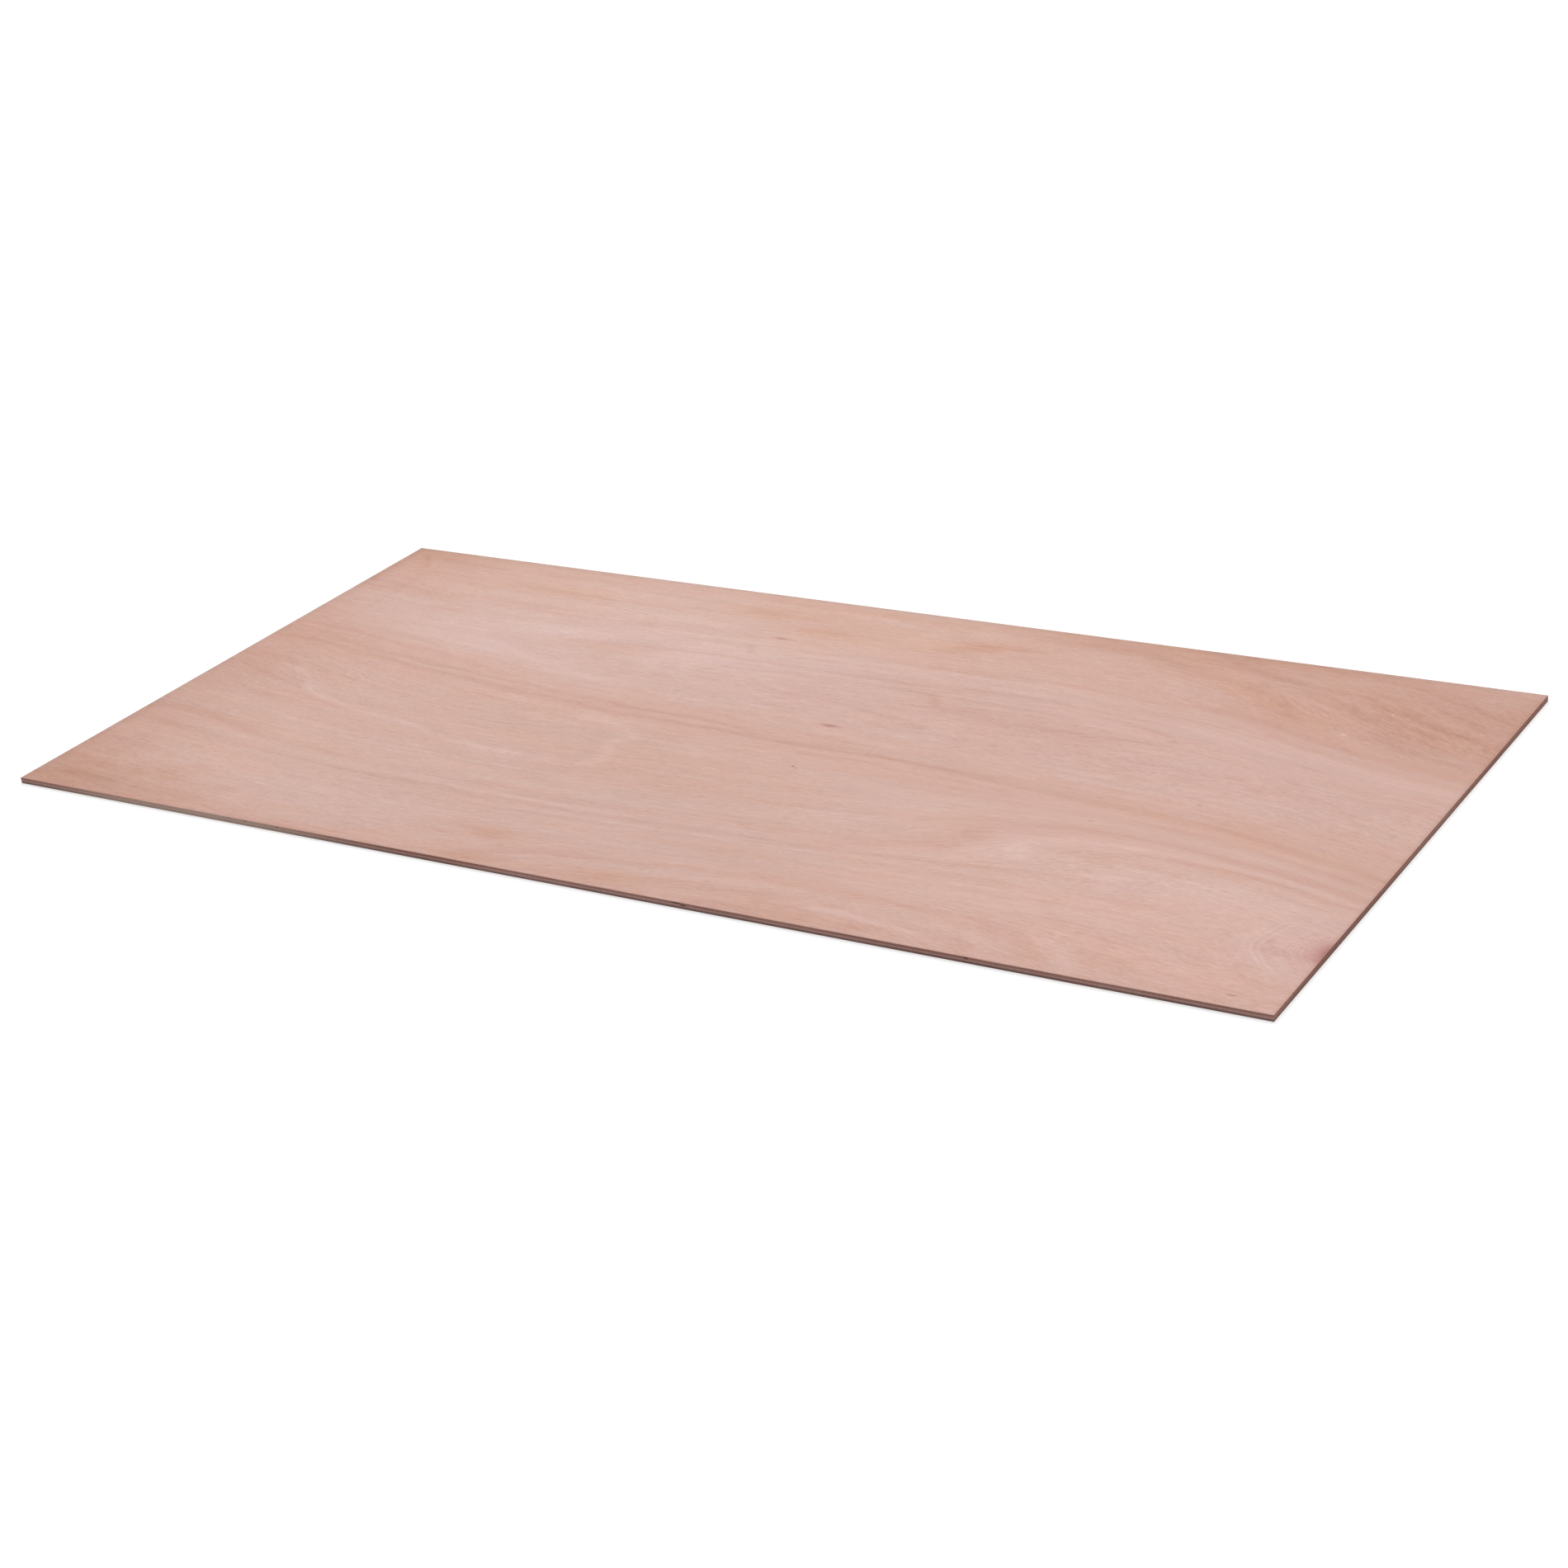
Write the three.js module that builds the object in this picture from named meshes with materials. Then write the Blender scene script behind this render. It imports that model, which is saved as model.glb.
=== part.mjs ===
// Hardwood plywood sheet, three plies, 1220 x 610 x 5.5 mm, lying flat.
//
// Rotary-cut veneers are glued face to face and sawn square on all four edges.
// The grain of the back and face veneers runs along the length (X). Between them
// lies the core ply, whose grain runs across the sheet (Y): it is three strips of
// veneer, laid edge to edge and glued in place as the sheet is pressed.
//
// Frame: +Z up, millimetres. The origin is the centre of the underside, so the
// sheet rests on z = 0 with its face up.

import * as THREE from 'three';

// Driving dimensions.
const SHEET_LENGTH = 1220; // X, along the grain of the face
const SHEET_WIDTH = 610; // Y, across the grain of the face
const BACK_THICKNESS = 1.75;
const CORE_THICKNESS = 2;
const FACE_THICKNESS = 1.75;
const LEFT_STRIP_WIDTH = 49; // core strip at the left end, along X
const RIGHT_STRIP_WIDTH = 508; // core strip at the right end; the middle one fills the rest

// Heights of the two glue lines and of the face.
const BACK_GLUE_LINE = BACK_THICKNESS;
const FACE_GLUE_LINE = BACK_GLUE_LINE + CORE_THICKNESS;
const TOP = FACE_GLUE_LINE + FACE_THICKNESS;

// Ends of the sheet and joints of the core, along X.
const LEFT_END = -SHEET_LENGTH / 2;
const RIGHT_END = SHEET_LENGTH / 2;
const LEFT_JOINT = LEFT_END + LEFT_STRIP_WIDTH;
const RIGHT_JOINT = RIGHT_END - RIGHT_STRIP_WIDTH;

const BACK_WOOD = { color: '#c49683', roughness: 0.75 };
const CORE_WOOD = { color: '#a5877c', roughness: 0.85 };
const FACE_WOOD = { color: '#d4b0a3', roughness: 0.65 };

// A piece of veneer across the whole sheet, from one place along it to another and
// from one height to another. Two pieces that meet are given the same number for
// it, so their glued faces lie exactly together.
function veneer(name, [left, right], [bottom, top], wood) {
  const geometry = new THREE.BoxGeometry(1, SHEET_WIDTH, 1);
  const corners = geometry.getAttribute('position');
  for (let i = 0; i < corners.count; i++) {
    corners.setX(i, corners.getX(i) < 0 ? left : right);
    corners.setZ(i, corners.getZ(i) < 0 ? bottom : top);
  }
  const material = new THREE.MeshStandardMaterial({ ...wood, metalness: 0 });
  const piece = new THREE.Mesh(geometry, material);
  piece.name = name;
  return piece;
}

const backVeneer = veneer('back_veneer', [LEFT_END, RIGHT_END], [0, BACK_GLUE_LINE], BACK_WOOD);

const CORE_PLY = [BACK_GLUE_LINE, FACE_GLUE_LINE];
const coreStrips = [
  veneer('core_strip_left', [LEFT_END, LEFT_JOINT], CORE_PLY, CORE_WOOD),
  veneer('core_strip_middle', [LEFT_JOINT, RIGHT_JOINT], CORE_PLY, CORE_WOOD),
  veneer('core_strip_right', [RIGHT_JOINT, RIGHT_END], CORE_PLY, CORE_WOOD),
];

const faceVeneer = veneer('face_veneer', [LEFT_END, RIGHT_END], [FACE_GLUE_LINE, TOP], FACE_WOOD);

const sheet = new THREE.Group();
sheet.name = 'plywood_sheet';
sheet.add(backVeneer, ...coreStrips, faceVeneer);

export default sheet;
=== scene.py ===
import math

import bpy
import numpy as np
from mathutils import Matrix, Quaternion, Vector


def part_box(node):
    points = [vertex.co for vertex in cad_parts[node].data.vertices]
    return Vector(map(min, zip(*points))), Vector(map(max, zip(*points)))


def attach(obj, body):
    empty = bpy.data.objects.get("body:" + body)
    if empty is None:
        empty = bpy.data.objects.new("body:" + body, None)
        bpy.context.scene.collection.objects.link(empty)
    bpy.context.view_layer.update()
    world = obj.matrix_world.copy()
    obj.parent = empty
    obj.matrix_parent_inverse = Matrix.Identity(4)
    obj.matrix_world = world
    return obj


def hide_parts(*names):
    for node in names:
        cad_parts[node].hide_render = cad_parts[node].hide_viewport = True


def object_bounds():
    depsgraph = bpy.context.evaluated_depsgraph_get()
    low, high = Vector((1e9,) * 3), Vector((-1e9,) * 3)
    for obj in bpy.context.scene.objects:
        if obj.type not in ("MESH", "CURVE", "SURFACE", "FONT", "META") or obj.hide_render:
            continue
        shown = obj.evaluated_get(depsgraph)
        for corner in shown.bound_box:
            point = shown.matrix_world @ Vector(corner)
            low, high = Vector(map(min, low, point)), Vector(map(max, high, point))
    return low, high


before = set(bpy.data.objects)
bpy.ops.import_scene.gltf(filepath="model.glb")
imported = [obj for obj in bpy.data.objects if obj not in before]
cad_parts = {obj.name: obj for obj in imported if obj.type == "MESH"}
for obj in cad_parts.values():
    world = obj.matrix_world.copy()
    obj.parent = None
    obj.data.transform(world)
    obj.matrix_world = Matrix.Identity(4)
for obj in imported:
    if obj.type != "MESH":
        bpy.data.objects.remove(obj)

cad_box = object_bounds()


# ---- Back veneer --------------------------------------------------------------------------
# The lowest ply and the first to be laid: hardwood veneer of the lower grade, peeled from a
# turning log, its grain along the sheet. It is sawn square with the others after pressing.

MM = 0.001
HALF_LENGTH = cad_box[1].x / MM
FRONT_EDGE = cad_box[0].y / MM
GLUE_LINES = (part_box("back_veneer")[1].z / MM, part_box("face_veneer")[0].z / MM)
LEFT_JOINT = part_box("core_strip_left")[1].x / MM
RIGHT_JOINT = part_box("core_strip_right")[0].x / MM
# Where the joints of the core shadow through the outer veneers: middle and half width.
JOINT_SHADOWS = ((LEFT_JOINT + 2, 6.0), (RIGHT_JOINT + 0.5, 2.4))


def grid_lines(low, high, pitch, extra=()):
    """Places of a grid's lines from low to high: the pitch or a little less apart, and extra
    lines where something small needs them."""
    even = np.linspace(low, high, math.ceil((high - low) / pitch) + 1)
    return np.unique(np.concatenate([even, extra]))


def waver(along, pitch, seed):
    """A smooth random wave from 0 to 1 along an edge: random heights a pitch apart, joined by
    half cosine waves."""
    start, length = -1000, 2400  # mm: room for x plus y and x minus y anywhere on the sheet
    heights = np.random.default_rng(seed).uniform(0, 1, int(length / pitch))
    steps = (along - start) / pitch
    before = np.floor(steps).astype(int)
    rise = 0.5 - 0.5 * np.cos(np.pi * (steps - before))
    return heights[before] * (1 - rise) + heights[before + 1] * rise


def sawn_loops(node, x, y, levels, long_edge, short_edge, chips=()):
    """The sawn edge of a veneer as loops of points round its CAD node, anticlockwise from the
    front left corner, one at each of the levels in mm above the veneer's foot.

    A point lies inside the node's box by the edge's depth for its level, times 0.6 to 1 where
    the saw wavered, and by what each chip (x, y, z, half length, half height, depth) takes: its
    depth times e to the minus squared distance in half sizes. Butt joints are left straight.
    """
    last_x, last_y = len(x) - 1, len(y) - 1
    column = np.r_[0:last_x, [last_x] * last_y, last_x:0:-1, [0] * last_y]
    row = np.r_[[0] * last_x, 0:last_y, [last_y] * last_x, last_y:0:-1]
    sawn_end = abs(x[column]) > HALF_LENGTH - 1
    outward_x = sawn_end * ((column == last_x) * 1.0 - (column == 0))
    outward_y = (row == last_y) * 1.0 - (row == 0)
    edge_x, height = np.meshgrid(x[column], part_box(node)[0].z / MM + np.array(levels))
    edge_y = np.broadcast_to(y[row], edge_x.shape)
    wander = 0.6 + 0.3 * waver(edge_x + edge_y, pitch=11, seed=3)
    wander += 0.1 * waver(edge_x - edge_y, pitch=3, seed=4)
    depth_x = np.array(short_edge)[:, None] * wander
    depth_y = np.array(long_edge)[:, None] * wander
    for chip_x, chip_y, chip_z, half_length, half_height, depth in chips:
        away = ((edge_x - chip_x) ** 2 + (edge_y - chip_y) ** 2) / half_length**2
        away += ((height - chip_z) / half_height) ** 2
        depth_x += depth * np.exp(-away)
        depth_y += depth * np.exp(-away)
    points = np.stack([edge_x - outward_x * depth_x, edge_y - outward_y * depth_y, height], -1)
    return points, column, row


def closed_veneer(loops, column, row, x, y, shown=None):
    """The loops closed into one surface. The shown side, "top" or "foot", is a flat grid on the
    lines x and y, and a glued side is triangles to its middle. Gives the points, the faces and
    each face's finish: 0 for the sides, 1 for the long edges, 2 for the short ones."""
    levels, count = loops.shape[:2]
    points = [loops.reshape(-1, 3)]
    here = np.arange(count)
    beside = np.roll(here, -1)
    below = count * np.arange(levels - 1)[:, None]
    above = below + count
    walls = np.stack([below + here, below + beside, above + beside, above + here], -1)
    faces = walls.reshape(-1, 4).tolist()
    edges = np.repeat([1, 2, 1, 2], [len(x) - 1, len(y) - 1, len(x) - 1, len(y) - 1])
    finishes = np.tile(edges, levels - 1).tolist()
    used = levels * count
    for side, first, level in (("foot", 0, 0), ("top", used - count, -1)):
        z = loops[level, 0, 2]
        if side == shown:
            inner_x, inner_y = np.meshgrid(x[1:-1], y[1:-1])
            corner = np.empty((len(y), len(x)), int)
            corner[1:-1, 1:-1] = used + np.arange(inner_x.size).reshape(inner_x.shape)
            corner[row, column] = first + here
            cells = [corner[:-1, :-1], corner[:-1, 1:], corner[1:, 1:], corner[1:, :-1]]
            cover = np.stack(cells, -1).reshape(-1, 4)
            inner = np.stack([inner_x, inner_y, np.full_like(inner_x, z)], -1).reshape(-1, 3)
        else:
            cover = np.stack([first + here, first + beside, np.full(count, used)], -1)
            inner = np.array([[x.mean(), y.mean(), z]])
        faces += (cover if side == "top" else cover[:, ::-1]).tolist()
        finishes += [0] * len(cover)
        points.append(inner)
        used += len(inner)
    return np.concatenate(points), faces, finishes


def make_piece(name, node, slot, points, faces, finishes, materials, **measures):
    """Makes the piece that is shown for a CAD node, with named measures at its points."""
    mesh = bpy.data.meshes.new(name)
    mesh.from_pydata((points * MM).tolist(), [], faces)
    for material in materials:
        mesh.materials.append(material)
    mesh.polygons.foreach_set("material_index", finishes)
    mesh.polygons.foreach_set("use_smooth", [True] * len(faces))
    mesh.set_sharp_from_angle(angle=math.radians(50))
    for label, values in measures.items():
        mesh.attributes.new(label, "FLOAT", "POINT").data.foreach_set("value", values)
    piece = bpy.data.objects.new(name, mesh)
    bpy.context.scene.collection.objects.link(piece)
    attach(piece, "root")
    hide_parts(node)


def bent_plate(x, y, marks, slack=0.03):
    """A smooth field over a veneer, such as the growth ring that the knife met at each point.

    A thin plate bent through the marks (value, (x, y), (x, y), ...): a sloping plane, plus for
    each mark a weight times r squared log r, where r is the distance to the mark. Wood changes
    faster across the grain than along it, so y counts 2.5 times in r. The slack lets the plate
    pass a mark at a little distance.
    """
    value = np.array([mark[0] for mark in marks for _ in mark[1:]], float)
    mark_x, mark_y = np.array([place for mark in marks for place in mark[1:]], float).T
    cross_grain = 2.5
    span = 100  # mm, which keeps the slopes and the bends at like sizes

    def bend(from_x, from_y):
        square = from_x**2 + (cross_grain * from_y) ** 2
        return square * np.log(np.maximum(square, 1e-9)) / (2 * span**2)

    count = len(value)
    slope = np.stack([np.ones(count), mark_x / span, mark_y / span], -1)
    plate = np.zeros((count + 3, count + 3))
    plate[:count, :count] = bend(mark_x[:, None] - mark_x, mark_y[:, None] - mark_y)
    plate[:count, :count] += slack * np.eye(count)
    plate[:count, count:] = slope
    plate[count:, :count] = slope.T
    weights = np.linalg.solve(plate, np.append(value, [0, 0, 0]))
    height = weights[-3] + weights[-2] * x / span + weights[-1] * y / span
    for one_x, one_y, weight in zip(mark_x, mark_y, weights):
        height += weight * bend(x - one_x, y - one_y)
    return height


def patches(x, y, spots):
    """Broad soft patches over a veneer: for each spot (x, y, half length, half width, slope,
    strength) its strength times e to the minus squared distance in half sizes, summed. The
    patch leans by its slope, in mm across for each mm along."""
    total = np.zeros_like(x)
    for spot_x, spot_y, half_length, half_width, slope, strength in spots:
        across = y - spot_y - slope * (x - spot_x)
        away = ((x - spot_x) / half_length) ** 2 + (across / half_width) ** 2
        total += strength * np.exp(-away)
    return total


def tint(red, green, blue):
    """A colour in 8-bit sRGB as the linear colour that a shader takes."""
    return [((part / 255 + 0.055) / 1.055) ** 2.4 for part in (red, green, blue)] + [1]


def add(tree, kind, inputs, **settings):
    """Adds a shader node with its settings, and sets each of its inputs or links it."""
    made = tree.nodes.new("ShaderNode" + kind)
    for setting, value in settings.items():
        setattr(made, setting, value)
    for socket, value in inputs.items():
        if isinstance(value, bpy.types.NodeSocket):
            tree.links.new(value, made.inputs[socket])
        else:
            made.inputs[socket].default_value = value
    return made


def sums(tree, operation, *terms):
    """One step of arithmetic."""
    return add(tree, "Math", dict(enumerate(terms)), operation=operation).outputs[0]


def spread(tree, value, low, high, from_low=0.3, from_high=0.7):
    """A value carried from one range to another, and on past its ends."""
    ends = {"From Min": from_low, "From Max": from_high, "To Min": low, "To Max": high}
    return add(tree, "MapRange", {"Value": value, **ends}, clamp=False).outputs[0]


def streaks(tree, place, size, detail=2.0, start=0.0):
    """Random streaks, mostly from 0.3 to 0.7, of the given size in mm along x, y and z."""
    sized = add(tree, "Mapping", {"Vector": place, "Location": [start] * 3,
                                  "Scale": [1 / (MM * part) for part in size]})
    noise = {"Vector": sized.outputs[0], "Scale": 1.0, "Detail": detail}
    return add(tree, "TexNoise", noise).outputs[0]


def spot(tree, place, centre, size):
    """1 in the middle of an oval, falling softly to 0 at its border and outside it. The oval has
    half lengths `size` round `centre`, in mm."""
    middle = [MM * part for part in centre]
    scale = [1 / (MM * part) for part in size]
    centred = add(tree, "VectorMath", {0: place, 1: middle}, operation="SUBTRACT")
    sized = add(tree, "VectorMath", {0: centred.outputs[0], 1: scale}, operation="MULTIPLY")
    away = add(tree, "VectorMath", {0: sized.outputs[0]}, operation="LENGTH").outputs["Value"]
    border = {"Value": away, "From Min": 1.0, "From Max": 0.0, "To Min": 0.0, "To Max": 1.0}
    return add(tree, "MapRange", border, interpolation_type="SMOOTHERSTEP").outputs[0]


def ramp(tree, value, stops):
    """Colours or greys by value, from stops (value, colour), blended between them."""
    low, high = stops[0][0], stops[-1][0]
    scaled = add(tree, "MapRange", {"Value": value, "From Min": low, "From Max": high})
    made = add(tree, "ValToRGB", {"Fac": scaled.outputs[0]})
    elements = made.color_ramp.elements
    elements.remove(elements[1])
    for position, colour in stops:
        position = (position - low) / (high - low)
        element = elements.new(position) if position > 0 else elements[0]
        element.color = colour if isinstance(colour, list) else [colour, colour, colour, 1]
    return made.outputs[0]


def lay(tree, factor, below, above, blend="MIX"):
    """Lays one colour over another, as far as the factor says."""
    sockets = {0: factor, 6: below, 7: above}  # the colours of a Mix node are 6 and 7
    return add(tree, "Mix", sockets, data_type="RGBA", blend_type=blend).outputs[2]


def new_finish(name):
    """A new material and its tree of nodes."""
    material = bpy.data.materials.new(name)
    material.use_nodes = True
    return material, material.node_tree


def dull_surface(tree, colour, roughness, height):
    """Gives the material its colour, roughness and height in mm: bare wood, with little gloss."""
    bump = add(tree, "Bump", {"Height": height, "Distance": MM, "Strength": 1.0})
    surface = tree.nodes["Principled BSDF"]
    links = {"Base Color": colour, "Roughness": roughness, "Normal": bump.outputs[0]}
    for socket, value in links.items():
        tree.links.new(value, surface.inputs[socket])
    surface.inputs["Specular IOR Level"].default_value = 0.2


COOL_WOOD = tint(202, 172, 165)
ENDLESS = 9e5  # mm: the half length of an oval that runs on past the whole sheet


def sanded_veneer(name, ring_tones, wood, stain, knots):
    """The sanded side of a veneer. Its broad tone, from 0 dark to 1 pale, is its shading and some
    clouds. Over it lie cool and stained places. Fine lines darken or lighten all of that, blue the
    most and red the least: the tones of the growth rings and thin streaks, which waver, fade in
    and out and are weak where `calm` says, the drawn veins, arcs round a knot, fibres and pores.
    The random ones run with the grain, which is straight once it is moved by `lean` mm. The joints
    of the core cross them as faint shadows. `warm` and `rosy` and some soft streaks turn the hue
    to yellow and to pink, by that many 8-bit steps. The knots lie on top."""
    material, tree = new_finish(name)
    place = add(tree, "TexCoord", {}).outputs["Object"]
    labels = ("ring", "lean", "calm", "arc", "vein", "shade", "grey", "stain", "warm", "rosy")
    measures = (add(tree, "Attribute", {}, attribute_name=label).outputs["Fac"] for label in labels)
    ring, lean, calm, arc, vein, shade, grey, amount, warm, rosy = measures
    aside = add(tree, "CombineXYZ", {1: sums(tree, "MULTIPLY", lean, MM)}).outputs[0]
    grain = add(tree, "VectorMath", {0: place, 1: aside}, operation="ADD").outputs[0]
    clouds = spread(tree, streaks(tree, grain, (110, 14, 14), detail=4, start=11), -0.07, 0.07)
    broad = sums(tree, "ADD", sums(tree, "ADD", shade, 0.5), clouds)
    colour = ramp(tree, broad, wood)
    cool = spread(tree, streaks(tree, grain, (90, 18, 18), detail=3, start=17), -0.12, 0.16)
    colour = lay(tree, sums(tree, "ADD", cool, grey), colour, COOL_WOOD)
    blotches = spread(tree, streaks(tree, grain, (40, 9, 9), detail=3, start=23), 0.4, 1.6)
    colour = lay(tree, sums(tree, "MULTIPLY", amount, blotches), colour, stain)
    wavering = spread(tree, streaks(tree, grain, (70, 12, 12), detail=3), -0.09, 0.09)
    ring = sums(tree, "ADD", ring, wavering)
    line = sums(tree, "SUBTRACT", ramp(tree, ring, ring_tones), 0.5)
    thin = spread(tree, streaks(tree, grain, (160, 3.2, 3.2), detail=3, start=37), -0.08, 0.08)
    fading = spread(tree, streaks(tree, grain, (150, 26, 26), start=5), 0.45, 1.25)
    clear = sums(tree, "MULTIPLY", fading, sums(tree, "SUBTRACT", 1.0, calm))
    fine = sums(tree, "MULTIPLY", sums(tree, "ADD", line, thin), clear)
    patchy = spread(tree, streaks(tree, grain, (60, 9, 9), detail=3, start=31), 0.65, 1.35)
    vein = sums(tree, "MULTIPLY", vein, patchy)
    arcs = add(tree, "TexNoise", {"W": ring, "Scale": 4.0, "Detail": 3.0}, noise_dimensions="1D")
    arcs = sums(tree, "MULTIPLY", spread(tree, arcs.outputs[0], -0.1, 0.1), arc)
    fibres = streaks(tree, grain, (22, 2.0, 2.0), detail=3, start=2)
    pores = streaks(tree, grain, (7, 0.6, 0.6), detail=1, start=8)
    for part in (vein, arcs, spread(tree, fibres, -0.065, 0.065), spread(tree, pores, -0.17, 0.17)):
        fine = sums(tree, "ADD", fine, part)
    for x, half_width in JOINT_SHADOWS:
        shadow = spot(tree, place, (x, 0, 0), (half_width, ENDLESS, ENDLESS))
        fine = sums(tree, "MULTIPLY_ADD", shadow, -0.05, fine)
    pinker = spread(tree, streaks(tree, grain, (80, 11, 11), detail=3, start=53), -1.7, 1.7)
    yellower = spread(tree, streaks(tree, grain, (70, 11, 11), detail=3, start=59), -1.7, 1.7)
    rosy = sums(tree, "ADD", rosy, pinker)
    warm = sums(tree, "ADD", warm, yellower)
    swing = (1.0, 1.0, 1.0)
    hues = ((fine, (0.36, 0.56, 0.71)), (warm, (0.007, 0.0, -0.009)), (rosy, (0.0035, -0.0042, 0.0)))
    for value, change in hues:
        terms = {0: value, 1: change, 2: swing}
        swing = add(tree, "VectorMath", terms, operation="MULTIPLY_ADD").outputs[0]
    colour = lay(tree, 1.0, colour, swing, "MULTIPLY")
    for x, y, half_length, half_width, strength, tinted in knots:
        oval = spot(tree, place, (x, y, 0), (half_length, half_width, ENDLESS))
        colour = lay(tree, sums(tree, "MULTIPLY", oval, strength), colour, tinted)
    height = sums(tree, "ADD", spread(tree, fibres, -0.012, 0.012), spread(tree, pores, -0.01, 0.01))
    dull_surface(tree, colour, spread(tree, fibres, 0.72, 0.6), height)
    return material


GLUE = tint(92, 66, 55)
# painted light: the colour of the paler run on the left half of the front edge
PAINTED_LIGHT_EDGE = tint(238, 208, 192)
# painted shade for the hollows of the voids, then the pale torn fibres of the flecks
VOID_PAINTED_SHADE, PALE_TEAR = tint(84, 60, 50), tint(205, 176, 160)


def sawn_wood(name, wood, streak, depth, lighter=0.0, voids=(), flecks=()):
    """A sawn edge. Its tone is streaks of the given size, long ones along the edge where the saw
    ran with the grain and specks where it cut across, with darker and lighter runs and the saw's
    marks. Over it lie painted light, a paler run in the left half of the front edge, as far as
    `lighter` says, the thin dark glue lines, dark voids with painted shade in their hollows, and
    pale flecks. The grain is `depth` mm rough."""
    material, tree = new_finish(name)
    place = add(tree, "TexCoord", {}).outputs["Object"]
    grain = streaks(tree, place, streak, detail=3)
    runs = streaks(tree, place, (110, 110, 9), detail=3, start=4)
    saw = streaks(tree, place, (1.4, 1.4, 40), start=9)
    tone = sums(tree, "ADD", spread(tree, grain, 0.3, 0.7), spread(tree, runs, -0.2, 0.2))
    tone = sums(tree, "ADD", tone, spread(tree, saw, -0.08, 0.08))
    colour = ramp(tree, tone, wood)
    # Painted light: the left half of the front edge is made paler, as far as `lighter` says.
    painted_light_run = spot(tree, place, (-400, FRONT_EDGE, 2), (270, 20, 90))
    colour = lay(tree, sums(tree, "MULTIPLY", painted_light_run, lighter), colour, PAINTED_LIGHT_EDGE)
    for z in GLUE_LINES:
        film = spot(tree, place, (0, 0, z), (ENDLESS, ENDLESS, 0.16))
        colour = lay(tree, sums(tree, "MULTIPLY", film, 0.55), colour, GLUE)
    # The voids get painted shade, dark in their hollows; the flecks are pale torn fibres.
    for tears, strength, tear in ((voids, 0.8, VOID_PAINTED_SHADE), (flecks, 0.7, PALE_TEAR)):
        for x, y, z, half_length, half_height, *_ in tears:
            torn = spot(tree, place, (x, y, z), (1.5 * half_length, 9, 1.5 * half_height))
            colour = lay(tree, sums(tree, "MULTIPLY", torn, strength), colour, tear)
    height = sums(tree, "ADD", spread(tree, grain, -depth, depth), spread(tree, saw, -0.02, 0.02))
    dull_surface(tree, colour, spread(tree, grain, 0.9, 0.78), height)
    return material


LONG_GRAIN = (45, 45, 0.4)  # sizes of the streaks on a sawn edge along x, y and z
END_GRAIN = (0.7, 0.7, 0.4)

BACK_RINGS = [  # a growth ring, then places that it passes
    (0, (-600, -250), (-300, -240), (0, -225), (300, -190), (600, -150)),
    (1, (-600, -205), (-300, -190), (0, -170), (300, -130), (600, -95)),
    (2, (-600, -160), (-300, -140), (0, -112), (300, -72), (600, -45)),
    (3, (-600, -118), (-300, -92), (0, -55), (200, -28), (600, 0)),
    (4, (-600, -78), (-350, -52), (-100, -20), (100, 2), (300, 22), (600, 40)),
    (5, (-600, -40), (-400, -18), (-200, 14), (0, 46), (200, 66), (600, 84)),
    (6, (-600, -5), (-430, 14), (-290, 60), (-200, 92), (0, 120), (300, 126), (600, 126)),
    (7, (-600, 36), (-500, 52), (-455, 82), (-500, 118), (-600, 130)),
    (5, (-300, 150), (-150, 172), (100, 190), (400, 182), (600, 172)),
    (4, (-600, 205), (-300, 205), (0, 225), (300, 228), (600, 214)),
    (3, (-600, 245), (-300, 245), (0, 258), (300, 262), (600, 255)),
    (2, (-600, 285), (-300, 282), (0, 292), (300, 294), (600, 292)),
]
BACK_TONES = [  # growth ring, tone of its line, where 0.5 is plain wood
    (0, 0.35), (0.4, 0.6), (0.9, 0.5), (1, 0.25), (1.3, 0.55), (1.9, 0.6), (2, 0.3), (2.2, 0.5),
    (2.9, 0.55), (3, 0.2), (3.3, 0.5), (3.8, 0.6), (4, 0.35), (4.5, 0.65), (5, 0.3), (5.4, 0.6),
    (6, 0.4), (6.5, 0.6), (7, 0.35), (8, 0.55),
]
BACK_SHADES = [  # patches that are darker or paler
    (-350, 250, 260, 40, 0.02, -0.12), (200, 60, 300, 60, -0.03, 0.08), (560, -120, 90, 160, 0, -0.12),
    (-80, -240, 300, 40, 0.06, 0.08),
]
BACK_STAINS = [  # patches of stained wood
    (-420, -60, 150, 22, 0.1, 0.5), (230, 150, 130, 16, -0.05, 0.45), (500, -210, 120, 30, 0.1, 0.5),
    (-150, 260, 200, 14, 0, 0.4), (60, -285, 260, 12, 0.03, 0.5),
]
BACK_KNOTS = [  # x, y, half length, half width, strength, colour
    (-260, 20, 26, 9, 0.5, tint(150, 96, 76)), (-260, 20, 9, 4, 0.9, tint(84, 50, 40)),
    (340, -90, 18, 6, 0.5, tint(156, 104, 84)), (340, -90, 6, 2.5, 0.9, tint(90, 56, 44)),
    (120, 235, 14, 5, 0.5, tint(150, 100, 82)), (-510, -230, 5, 2, 0.8, tint(90, 58, 46)),
]
BACK_WOOD = [  # broad tone, colour
    (0, tint(158, 112, 92)), (0.35, tint(182, 137, 116)), (0.55, tint(196, 152, 132)),
    (0.8, tint(206, 166, 147)), (1, tint(214, 177, 160)),
]
BACK_STAIN = tint(152, 104, 78)
BACK_EDGE = [(0, tint(134, 97, 90)), (0.5, tint(166, 126, 118)), (1, tint(194, 158, 148))]
BACK_END = [(0, tint(133, 92, 82)), (0.5, tint(172, 125, 112)), (1, tint(205, 159, 145))]

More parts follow.
